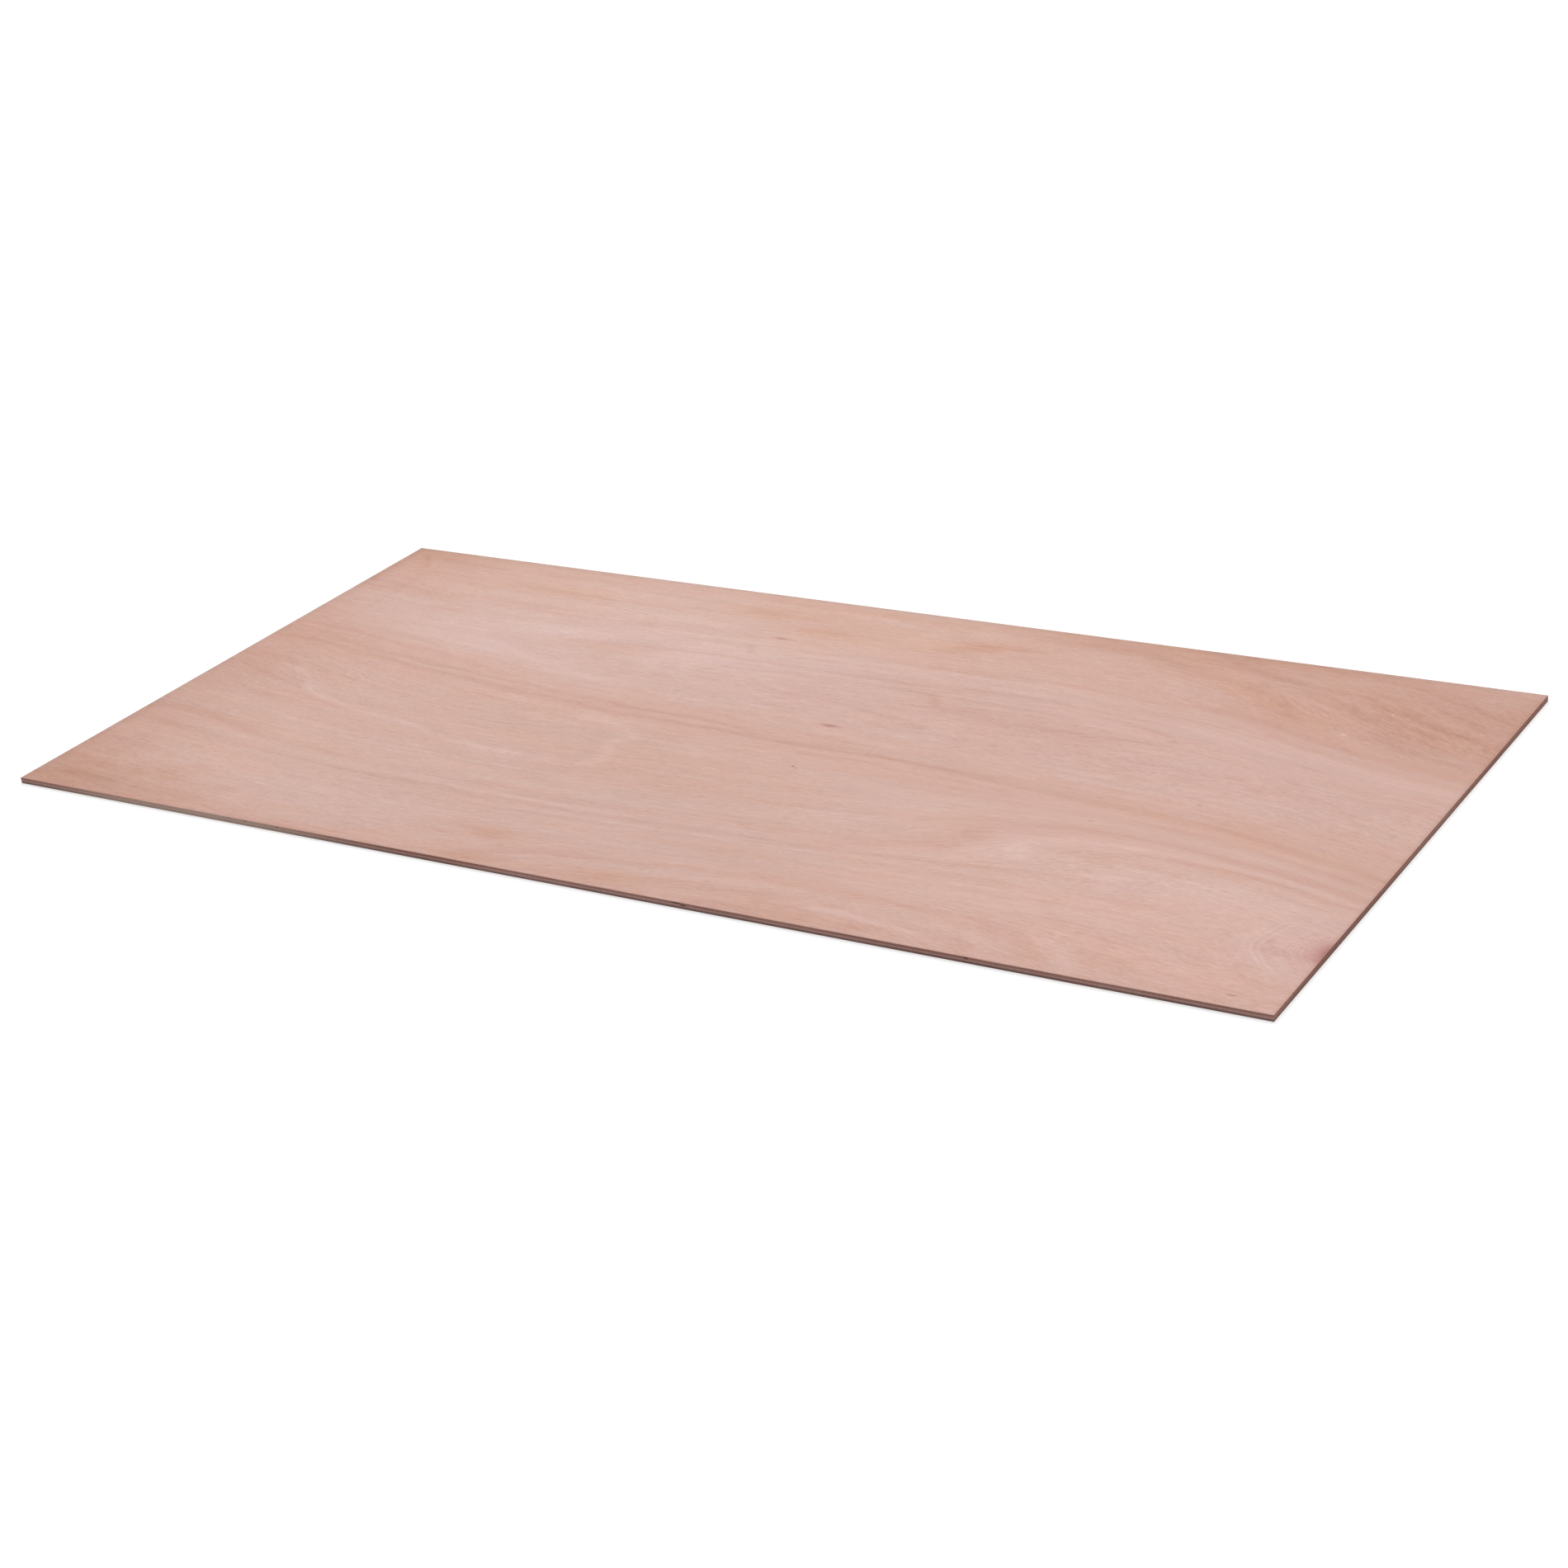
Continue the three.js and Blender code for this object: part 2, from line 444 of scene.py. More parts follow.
low, high = (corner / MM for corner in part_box("back_veneer"))
x = grid_lines(low.x, high.x, pitch=5)
y = grid_lines(low.y, high.y, pitch=5)
loops, column, row = sawn_loops(
    "back_veneer", x, y,
    levels=[0, 0.07, 0.25, 0.9, 1.55, 1.68, 1.75],
    long_edge=[0.22, 0.07, 0.03, 0.03, 0.03, 0.05, 0.10],
    short_edge=[0.24, 0.10, 0.07, 0.07, 0.07, 0.09, 0.13],
)
points, faces, finishes = closed_veneer(loops, column, row, x, y, shown="foot")
back_materials = [
    sanded_veneer("back_wood", BACK_TONES, BACK_WOOD, BACK_STAIN, BACK_KNOTS),
    sawn_wood("back_sawn_along", BACK_EDGE, LONG_GRAIN, depth=0.02, lighter=0.7),
    sawn_wood("back_sawn_across", BACK_END, END_GRAIN, depth=0.05),
]
along, across, _ = points.T
make_piece(
    "back_ply", "back_veneer", "back_veneer", points, faces, finishes, back_materials,
    ring=bent_plate(along, across, BACK_RINGS),
    shade=patches(along, across, BACK_SHADES),
    stain=patches(along, across, BACK_STAINS),
)


# ---- Core strips --------------------------------------------------------------------------
# Three strips of veneer laid edge to edge on the back veneer, their grain across the sheet.
# They are cut from narrower stock, never seen but at the sawn edges, and glued on both sides.

VOIDS = [  # places torn out of the front edge: x, y, z, half length, half height, depth
    (-347, FRONT_EDGE, 3.95, 1.5, 0.5, 1.0), (-312, FRONT_EDGE, 3.95, 1.5, 0.5, 1.0),
    (97, FRONT_EDGE, 3.95, 4.2, 0.6, 2.0), (104, FRONT_EDGE, 3.2, 3.5, 0.9, 0.6),
    (359, FRONT_EDGE, 3.85, 2.4, 0.9, 1.5),
]
VOID_LINES = [x + half * step for x, _, _, half, _, _ in VOIDS for step in (-1.6, -0.8, 0, 0.8, 1.6)]
CORE_ACROSS = [(0, tint(180, 134, 124)), (0.5, tint(212, 167, 157)), (1, tint(228, 194, 183))]
CORE_ALONG = [(0, tint(156, 109, 99)), (0.5, tint(195, 144, 132)), (1, tint(221, 177, 164))]

core_materials = [
    sawn_wood("core_glued", CORE_ACROSS, LONG_GRAIN, depth=0.01),
    sawn_wood("core_sawn_across", CORE_ACROSS, END_GRAIN, depth=0.05, lighter=0.65, voids=VOIDS),
    sawn_wood("core_sawn_along", CORE_ALONG, LONG_GRAIN, depth=0.02),
]
for name in ("core_strip_left", "core_strip_middle", "core_strip_right"):
    low, high = (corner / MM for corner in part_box(name))
    inside = [line for line in VOID_LINES if low.x < line < high.x]
    x = grid_lines(low.x, high.x, pitch=3, extra=inside)
    y = grid_lines(low.y, high.y, pitch=6)
    loops, column, row = sawn_loops(
        name, x, y,
        levels=[0, 0.07, 0.3, 1.0, 1.5, 1.8, 1.93, 2.0],
        long_edge=[0.14, 0.10, 0.09, 0.09, 0.09, 0.09, 0.10, 0.14],
        short_edge=[0.09, 0.05, 0.03, 0.03, 0.03, 0.03, 0.05, 0.09],
        chips=VOIDS,
    )
    points, faces, finishes = closed_veneer(loops, column, row, x, y)
    ply = name.replace("strip", "ply")
    make_piece(ply, name, "core_veneer", points, faces, finishes, core_materials)


# ---- Face veneer --------------------------------------------------------------------------
# The good side: one whole sheet of peeled hardwood veneer, its grain along the sheet, glued on
# last and sanded. The knife met the growth rings at a low angle, so they show as wide arches.

def veins(x, y, lines):
    """Thin lines over a veneer: for each line (strength, half width, (x, y), (x, y), ...) its
    strength times e to the minus squared distance from it in half widths, summed."""
    total = np.zeros_like(x)
    for strength, half_width, *places in lines:
        nearest = np.full_like(x, np.inf)
        for (from_x, from_y), (to_x, to_y) in zip(places, places[1:]):
            run_x, run_y = to_x - from_x, to_y - from_y
            part = ((x - from_x) * run_x + (y - from_y) * run_y) / (run_x**2 + run_y**2)
            part = np.clip(part, 0, 1)
            away = (x - from_x - part * run_x) ** 2 + (y - from_y - part * run_y) ** 2
            nearest = np.minimum(nearest, away)
        total += strength * np.exp(-nearest / half_width**2)
    return total


FACE_RINGS = [  # a growth ring, then places that it passes
    (-2.65, (-330, -45), (-430, -20), (-240, -50), (-400, 5), (-300, -15), (-180, -60), (-160, -38),
     (-470, -22), (-520, 10), (-440, -40), (-350, -62), (-260, -80), (-180, -84), (-145, -80)),
    (-2.6, (-90, -60), (-60, -110), (-490, -62), (-430, -80), (-350, -92), (-300, -104),
     (-250, -110), (-200, -112), (-100, -95), (-100, -45), (-540, -40)),
    (-2.6, (-400, -98), (-340, -110), (-270, -122), (-150, -124), (20, -118), (-20, -70),
     (60, -85), (120, -70), (40, -60), (180, -108), (160, -70)),
    (-2.4, (-600, -82), (-540, -90), (-480, -108), (-430, -118), (-350, -134), (-280, -141),
     (-200, -144), (-100, -145), (0, -143), (70, -138), (130, -130), (215, -76),
     (250, -75), (300, -64), (380, -57), (450, -63), (500, -73), (560, -88), (605, -101)),
    (-2, (-605, -116), (-550, -122), (-510, -133), (-470, -148), (-400, -156), (-350, -162),
     (-300, -165), (-200, -168), (-130, -171), (-50, -168), (0, -163), (60, -158), (120, -158),
     (180, -152), (225, -130), (240, -105), (262, -92), (300, -84), (350, -76), (400, -74),
     (450, -80), (500, -89), (560, -101), (605, -114)),
    (-1, (-600, -136), (-500, -152), (-400, -167), (-300, -176), (-200, -179), (-100, -180),
     (0, -175), (100, -170), (200, -162), (262, -150), (297, -130), (320, -108), (360, -96),
     (410, -91), (460, -94), (510, -99), (560, -109), (605, -123)),
    (-0.9, (20, -15), (70, -16), (125, -18), (200, -22), (300, -31), (400, -40), (500, -58)),
    (0, (-605, 62), (-570, 59), (-530, 54), (-500, 50), (-460, 43), (-400, 31), (-350, 26),
     (-310, 18), (-250, 11), (-200, 7), (-150, 1), (-100, -1), (0, -3), (60, -3), (140, -4),
     (200, -8), (250, -15), (300, -21), (350, -25), (400, -30), (450, -36), (500, -48),
     (550, -62), (605, -81)),
    (0, (-600, -151), (-530, -160), (-480, -169), (-430, -177), (-350, -184), (-280, -187),
     (-220, -187), (-150, -191), (-50, -189), (0, -184), (100, -181), (180, -177), (230, -170),
     (300, -162), (345, -157), (390, -155), (352, -133), (362, -116), (400, -106), (440, -102),
     (500, -106), (560, -117), (605, -131)),
    (1, (-600, 78), (-560, 73), (-500, 62), (-460, 54), (-400, 46), (-360, 41), (-300, 34),
     (-250, 28), (-200, 24), (-100, 18), (0, 10), (100, 5), (200, 0), (300, -9), (400, -15),
     (500, -28), (600, -55)),
    (0.95, (-400, -194), (-200, -203), (-100, -202), (0, -197), (100, -190), (200, -187),
     (255, -181), (300, -184), (345, -184), (400, -183), (458, -182), (515, -186)),
    (0.5, (425, -165), (430, -135), (480, -130)),
    (2, (-570, 92), (-520, 88), (-480, 80), (-430, 74), (-390, 67), (-340, 57), (-200, 40),
     (0, 24), (110, 17), (200, 12), (300, 5), (400, -2), (500, -12), (600, -34)),
    (2, (-605, 213), (-520, 203), (-400, 196), (-300, 192), (-200, 197), (-100, 200), (0, 194),
     (100, 192), (200, 192), (260, 187), (340, 182), (400, 174), (440, 160), (500, 141),
     (560, 128), (605, 114)),
    (1.3, (-300, -207), (-100, -210), (50, -205), (200, -197), (350, -194), (450, -190)),
    (2, (279, -203), (363, -205), (450, -203)),
    (3, (-560, 100), (-500, 97), (-450, 92), (-415, 86), (-300, 62), (-200, 54), (-100, 46),
     (0, 38), (100, 33), (200, 27), (300, 18), (400, 10), (600, -12)),
    (3, (-530, 163), (-480, 166), (-400, 169), (-300, 173), (-150, 177), (0, 176), (100, 172),
     (200, 171), (300, 160), (400, 146), (500, 124), (605, 100)),
    (2.6, (-500, -222), (-300, -230), (-150, -232), (0, -225), (100, -222), (300, -222),
     (450, -215), (-200, -270), (-150, -300), (-400, -270)),
    (3, (-122, -292), (-112, -284), (-90, -275), (-50, -264), (0, -256), (90, -250), (215, -243),
     (263, -243), (300, -245), (347, -248), (379, -258), (400, -272), (480, -292)),
    (3.5, (-575, 130), (-280, 76), (-220, 66), (-150, 57), (0, 50), (-60, -280), (20, -268)),
    (4.1, (-385, 128), (-345, 136), (-300, 145), (-250, 151), (-200, 152), (-150, 152),
     (-100, 152), (-50, 151), (0, 150), (60, 148), (-335, 107), (-260, 93), (-180, 82), (-90, 70),
     (0, 62), (100, 50), (250, 45), (400, 45), (110, 155), (170, 155), (230, 150), (300, 143),
     (400, 128), (500, 106), (605, 78)),
    (5, (-215, 128), (-185, 143), (-100, 146), (40, 143), (-190, 106), (-130, 92), (-60, 84),
     (0, 76), (60, 67), (200, 68), (330, 82), (400, 108), (350, 116), (200, 150)),
    (5.55, (-60, 95), (0, 88), (60, 80), (110, 69), (150, 80), (230, 84)),
    (6, (-152, 118), (-120, 130), (-80, 134), (0, 137), (60, 137), (-120, 105), (0, 98), (70, 93),
     (92, 134), (100, 125), (106, 116), (130, 108), (170, 103), (200, 100), (250, 96), (300, 96),
     (343, 106), (326, 120), (300, 127), (260, 134), (200, 143), (150, 146), (108, 144)),
    (7, (-40, 116), (20, 112), (180, 124), (260, 116), (130, 126)),
    (1.6, (-600, 250), (-400, 255), (-200, 250), (0, 246), (200, 240), (340, 226), (430, 205)),
    (1.3, (-600, 300), (-300, 300), (0, 300), (300, 290)),
    (1, (450, 258), (470, 248), (492, 231), (523, 219), (561, 206), (590, 194), (610, 187)),
    (0.55, (440, 290), (520, 265), (605, 228)),
    (0, (540, 290), (605, 262)),
    (2.4, (-600, -290), (-400, -300), (-250, -300)),
    (3.4, (0, -290), (200, -280), (400, -295), (300, -265)),
    (1.5, (526, -200), (534, -166), (537, -236)),
    (2.5, (540, -200), (549, -169), (550, -232), (587, -262)),
    (3.5, (554, -200), (563, -173), (564, -228), (605, -256)),
    (5, (572, -203), (582, -179), (584, -228), (605, -161), (605, -247)),
    (6.5, (588, -205), (596, -187), (597, -223), (606, -177), (606, -233)),
    (9, (612, -205)),
]
FACE_GRAIN = [  # the y at which a line of the grain would lie straight, then places that it passes
    (290, (-600, 290), (0, 292), (230, 284), (310, 267), (460, 252), (550, 206), (605, 186)),
    (262, (-600, 275), (-300, 262), (0, 266), (250, 266), (337, 248), (417, 196), (500, 160),
     (605, 124)),
    (235, (-600, 240), (-335, 238), (-100, 236), (150, 232), (250, 222), (353, 186), (450, 153),
     (605, 112)),
    (198, (-600, 216), (-500, 202), (-300, 193), (-100, 196), (190, 193), (300, 180), (430, 152),
     (605, 98)),
    (150, (-560, 150), (-395, 136), (-200, 150), (50, 150), (230, 150), (400, 127), (605, 80)),
    (100, (-600, 118), (-395, 104), (-150, 96), (50, 95), (250, 97), (400, 92), (605, 50)),
    (60, (-600, 96), (-437, 72), (-300, 48), (-100, 38), (100, 30), (300, 18), (605, -25)),
    (10, (-612, 58), (-510, 50), (-417, 31), (-293, 13), (-137, 2), (0, -1), (140, -4), (260, -15),
     (410, -29), (497, -47), (605, -76)),
    (-45, (-600, 0), (-500, -35), (-400, -55), (-200, -58), (0, -52), (200, -50), (420, -54),
     (605, -96)),
    (-90, (-600, -70), (-500, -88), (-343, -98), (-100, -100), (100, -92), (200, -78), (310, -66),
     (460, -76), (605, -114)),
    (-140, (-612, -118), (-500, -137), (-390, -150), (-200, -152), (0, -148), (150, -140),
     (220, -125), (290, -95), (383, -88), (500, -96), (605, -126)),
    (-185, (-612, -152), (-510, -163), (-370, -182), (-210, -189), (0, -186), (190, -177),
     (297, -163), (400, -158), (500, -160)),
    (-235, (-600, -215), (-450, -230), (-200, -240), (0, -228), (200, -215), (400, -210), (520, -215)),
    (-275, (-600, -275), (-400, -285), (-112, -284), (0, -258), (90, -245), (243, -241), (350, -248),
     (387, -262), (500, -280)),
]
FACE_TONES = [  # growth ring, tone of its line, where 0.5 is plain wood
    (-2.8, 0.5), (-2.6, 0.49), (-2.4, 0.53), (-2.15, 0.48), (-1.95, 0.45), (-1.6, 0.48), (-1.1, 0.54),
    (-0.7, 0.53), (-0.4, 0.47), (-0.15, 0.41), (0.05, 0.38), (0.25, 0.42), (0.5, 0.48), (0.9, 0.42),
    (1.1, 0.42), (1.5, 0.5), (2, 0.45), (2.5, 0.52), (3, 0.48), (3.5, 0.54), (4.1, 0.47), (4.6, 0.49),
    (5, 0.54), (5.55, 0.47), (5.8, 0.5), (6, 0.46), (6.3, 0.52), (7.5, 0.5), (9, 0.4),
]
FACE_SHADES = [  # patches that are darker or paler
    # darker and greyer along the very rim of the left end and the back edge
    (-610, 0, 6, 2000, 0, -0.1), (0, 305, 2000, 5, 0, -0.12),
    # the left end
    (-640, -10, 110, 300, 0, -0.44), (-620, -250, 90, 50, 0, -0.28), (-610, 305, 130, 40, 0, -0.44),
    (-607, -180, 5, 60, 0, -0.15), (-607, 240, 5, 60, 0, -0.2), (-604, 220, 8, 60, 0, -0.1),
    (-604, -140, 10, 40, 0, -0.1), (-600, 0, 30, 24, 0, 0.1), (-590, 0, 70, 26, -0.1, -0.12),
    (-589, 65, 26, 5, 0, 0.14), (-585, -124, 40, 8, 0, -0.14), (-580, 30, 60, 9, -0.1, 0.1),
    (-580, 84, 50, 10, -0.1, 0.1),
    # the right end
    (600, 208, 230, 72, -0.15, -0.5), (590, -90, 40, 20, -0.2, -0.12), (592, 56, 20, 9, 0, -0.12),
    (604, 165, 8, 30, 0, -0.15), (604, 280, 8, 20, 0, -0.15),
    # along the back edge
    (0, 308, 400, 12, 0, -0.12), (300, 298, 190, 26, 0, -0.46), (-559, 289, 28, 7, 0, -0.14),
    (-468, 280, 26, 14, 0, 0.12), (-200, 285, 110, 16, 0, 0.1), (-143, 289, 36, 6, 0, -0.13),
    (-60, 290, 90, 5, 0, -0.1), (-30, 277, 44, 7, -0.1, 0.2), (80, 277, 26, 8, 0, 0.2),
    (159, 280, 36, 6, 0, -0.12), (180, 289, 70, 6, 0, -0.06), (262, 290, 32, 8, 0, 0.14),
    (374, 288, 28, 8, 0, 0.22), (440, 278, 50, 10, 0, 0.2), (491, 276, 30, 8, -0.2, -0.13),
    (560, 285, 60, 20, 0, -0.07),
    # the back half, left
    (-400, 115, 160, 44, -0.1, 0.14), (-360, 215, 200, 14, 0, 0.08), (-220, 178, 260, 70, 0, 0.2),
    (-200, 215, 110, 40, 0, 0.06), (-180, 130, 160, 60, 0, 0.05), (-560, 150, 50, 40, 0, 0.12),
    (-335, 148, 60, 12, 0.1, 0.14), (-332, 162, 54, 9, 0, 0.13), (-330, 264, 130, 10, 0, 0.12),
    (-312, 252, 54, 6, 0, 0.16), (-300, 85, 120, 16, -0.2, 0.07), (-256, 175, 54, 5, 0, 0.12),
    (-255, 140, 46, 13, 0.1, -0.2), (-252, 63, 54, 8, -0.1, 0.13), (-170, 122, 40, 14, 0, 0.12),
    (-160, 259, 32, 11, 0, -0.26), (-148, 216, 34, 9, 0.1, -0.12), (-140, 140, 60, 30, 0, 0.05),
    (-107, 263, 42, 8, 0, -0.16), (-80, 234, 26, 10, 0, -0.26), (-59, 250, 28, 6, 0, -0.12),
    # the back half, right
    (200, 105, 110, 30, 0, -0.06), (0, 166, 60, 5, 0, 0.12), (30, 246, 30, 14, 0, 0.12),
    (40, 139, 66, 4, 0, 0.13), (64, 255, 24, 10, 0, -0.13), (74, 238, 26, 11, 0.35, -0.3),
    (92, 246, 34, 9, 0.3, -0.1), (106, 71, 24, 6, -0.3, -0.12), (130, 112, 55, 14, -0.25, -0.12),
    (130, 256, 42, 9, 0.1, -0.18), (191, 148, 44, 3, 0, 0.12), (200, 176, 130, 14, 0, 0.1),
    (286, 257, 40, 10, -0.2, -0.13), (362, 236, 13, 7, -0.3, -0.16), (395, 213, 12, 6, -0.3, -0.16),
    (410, 200, 70, 30, -0.3, -0.14), (414, 193, 12, 5, -0.3, -0.14), (446, 212, 22, 10, -0.6, 0.14),
    (457, 173, 24, 6, -0.5, 0.13), (482, 184, 34, 12, -0.9, 0.2), (500, 94, 110, 9, -0.22, 0.1),
    (500, 193, 14, 8, 0, 0.1), (520, 165, 50, 30, -0.3, -0.2), (528, 236, 24, 5, -0.4, 0.12),
    (548, 155, 26, 5, -0.3, 0.12), (556, 134, 40, 8, -0.3, 0.24), (560, 185, 60, 30, -0.2, 0.05),
    (570, 130, 50, 14, -0.3, -0.12), (571, 206, 26, 8, -0.4, 0.18),
    # along the middle
    (-440, 60, 180, 30, -0.17, -0.06), (-150, 10, 190, 14, -0.1, -0.08),
    (330, 10, 160, 40, -0.1, 0.07), (330, -26, 240, 14, -0.13, -0.1), (-500, -30, 60, 16, -0.2, -0.03),
    (-484, -43, 9, 6, -0.8, 0.2), (-355, 31, 52, 4, -0.12, 0.14), (-235, -55, 50, 22, 0, -0.05),
    (0, -19, 64, 4, 0, -0.15), (200, 0, 60, 20, 0, 0.06), (466, 48, 54, 3, -0.1, 0.1),
    (513, 5, 54, 3, -0.15, 0.1),
    # the front half, left
    (-560, -205, 50, 30, 0, -0.06), (-557, -146, 30, 5, -0.1, -0.12),
    (-517, -132, 54, 14, -0.1, -0.12), (-495, -77, 60, 9, -0.15, -0.14),
    (-485, -244, 26, 8, -0.2, -0.16), (-480, -243, 50, 14, 0.15, -0.06),
    (-480, -247, 46, 12, 0.1, -0.17), (-455, -227, 20, 6, 0, -0.2), (-440, -70, 60, 10, -0.3, -0.04),
    (-375, -110, 60, 12, -0.15, -0.1), (-375, -143, 50, 5, -0.05, 0.12),
    (-285, -112, 46, 14, -0.1, -0.12), (-200, -262, 110, 20, 0, -0.06), (-150, -113, 40, 7, 0, -0.1),
    (-142, -245, 40, 12, 0, -0.14), (-125, -250, 28, 11, 0, -0.16), (-125, -248, 28, 10, 0, -0.1),
    (-122, -251, 13, 6, 0, -0.2), (-120, -60, 60, 30, 0, -0.06),
    # the front half, right
    (0, -100, 110, 40, 0, -0.1), (200, -200, 110, 26, 0, 0.05), (380, -210, 130, 20, 0, 0.12),
    (440, -262, 200, 24, 0, 0.08), (480, -165, 120, 40, 0, 0.08), (570, -200, 60, 50, 0, 0.1),
    (0, -262, 110, 18, 0, -0.1), (60, -170, 100, 4, 0.03, -0.15), (88, -213, 22, 10, 0, -0.12),
    (149, -229, 66, 9, 0, -0.15), (150, -192, 70, 6, 0.05, 0.1), (150, -121, 54, 9, 0.1, 0.13),
    (180, -85, 90, 26, 0, 0.1), (200, -262, 90, 14, 0, -0.05), (249, -181, 60, 6, 0.05, 0.13),
    (258, -161, 64, 6, 0.08, 0.15), (262, -110, 14, 13, 0, -0.16), (300, -84, 40, 9, 0.18, -0.09),
    (306, -120, 20, 18, -0.5, 0.12), (318, -132, 36, 26, 0, 0.13), (385, -152, 46, 26, 0, 0.2),
    (386, -186, 44, 6, 0, 0.13), (400, -105, 80, 30, 0, 0.08), (430, -148, 26, 14, 0, 0.1),
    (471, -154, 30, 8, 0, 0.11), (485, -135, 70, 18, -0.1, 0.16), (528, -197, 6, 5, 0, -0.2),
    (540, -150, 60, 40, 0, 0.06), (540, -220, 110, 70, 0, 0.02), (0, -203, 60, 20, 0, -0.04),
    # along the front edge
    (-550, -284, 110, 26, 0, -0.58), (-360, -304, 260, 14, 0, -0.24), (80, -308, 230, 24, 0, -0.2),
    (-546, -278, 26, 6, -0.1, -0.16), (-440, -280, 70, 22, 0, -0.14), (-400, -292, 90, 14, 0, -0.08),
    (-250, -287, 120, 12, 0, -0.07), (-120, -292, 32, 11, 0, -0.28), (-95, -286, 26, 12, 0, -0.12),
    (-30, -293, 60, 10, 0, -0.06), (0, -290, 60, 12, 0, -0.08), (25, -286, 50, 12, 0, -0.14),
    (155, -292, 50, 14, 0, -0.12), (200, -290, 110, 14, 0, -0.12), (234, -291, 44, 9, 0, -0.15),
    (400, -285, 90, 22, 0, -0.12),
]
FACE_STAINS = [  # patches of stained wood
    (-400, 245, 120, 40, 0, 0.12), (0, 240, 80, 40, 0, 0.18), (-155, 262, 40, 16, 0, 0.25),
    (-80, 224, 50, 20, 0.1, 0.25), (78, 240, 70, 20, 0.3, 0.3), (330, 252, 90, 22, -0.58, 0.25),
    (410, 200, 60, 20, -0.4, 0.2), (480, 245, 60, 14, -0.5, 0.2), (540, 190, 60, 20, -0.4, 0.15),
    (-380, 250, 110, 12, 0, 0.15), (-560, 290, 100, 20, 0, 0.15), (0, 304, 420, 14, 0, 0.15),
    (-600, 10, 50, 50, 0, 0.04), (-560, -282, 110, 20, 0, 0.2), (480, -46, 120, 14, -0.2, 0.25),
    (-122, -250, 30, 9, 0, 0.2), (-110, -292, 40, 10, 0, 0.2), (180, -290, 160, 10, 0, 0.15),
    (150, -246, 120, 8, 0, 0.15), (-500, 44, 60, 8, -0.2, 0.15), (-125, -249, 26, 9, 0, 0.2),
    (20, -284, 50, 10, 0, 0.15),
]
FACE_GREYS = [  # cool patches
    (-280, -230, 260, 80, 0, 0.3), (-560, -285, 100, 40, 0, 0.05), (20, -200, 140, 60, 0, 0.2),
    (-560, -90, 60, 60, 0, 0.2), (570, -200, 60, 60, 0, 0.15),
]
FACE_HUES = [  # growth ring, then how much warmer and how much rosier its wood is
    (-3, -1, -0.8), (-2.6, -1, -0.9), (-2.4, -0.4, -1.2), (-2, 0.3, 0), (-1.5, 0.3, 0.2),
    (-0.75, 0.4, -0.3), (0, 0.1, 0.2), (0.5, 0.2, -0.7), (1.2, 0.5, -0.2), (1.6, 0.9, -0.3),
    (1.9, 0.9, 0.7), (2.3, 0.2, 0.3), (2.6, -0.2, -0.6), (3.1, -0.5, 0.3), (3.6, -1.5, 0),
    (4, -2, 0.8), (5, -2, 0.8), (5.8, -1.5, 1.3), (7, -1.5, 0.6), (9, 0, 0),
]
FACE_WARM_SPOTS = [  # patches that are more or less yellow
    (-610, 0, 6, 2000, 0, -10), (0, 305, 2000, 5, 0, -9),  # the rim
    (-60, 265, 120, 26, 0, 2.6), (-270, 130, 60, 20, 0, 2.5), (-130, -252, 40, 24, 0, 1),
    (330, 245, 40, 20, 0, 1), (-480, -243, 60, 16, 0.15, 2), (-305, -275, 26, 12, 0, 2),
    (560, 250, 50, 40, 0, -1.5), (560, 160, 60, 14, -0.3, -1.5), (-550, -284, 80, 20, 0, -3),
    (-600, -130, 40, 20, 0, -2.5), (290, -110, 26, 14, 0.6, -2), (-140, -60, 14, 50, 0, -1.5),
    (60, -190, 90, 40, 0, -1), (401, -276, 16, 12, -1.5, 3), (346, -288, 16, 8, -0.6, 2.5),
    (456, -283, 10, 20, 0, 2), (539, -285, 12, 12, -1.3, 2), (478, -268, 20, 8, 0, 2),
    (195, -243, 60, 5, 0, 2), (345, -252, 30, 6, -0.2, 1.5), (400, -252, 120, 20, 0, 1.5),
    (-480, -60, 60, 12, 0, 1), (-590, -205, 50, 30, 0, -1.5), (-60, 287, 90, 9, 0, 1.5),
    (180, 287, 70, 9, 0, 1.5), (-520, -133, 60, 8, -0.2, 1), (540, -220, 110, 70, 0, 1.5),
    (-570, -200, 60, 40, 0, -1), (400, -200, 80, 60, 0, 1),
]
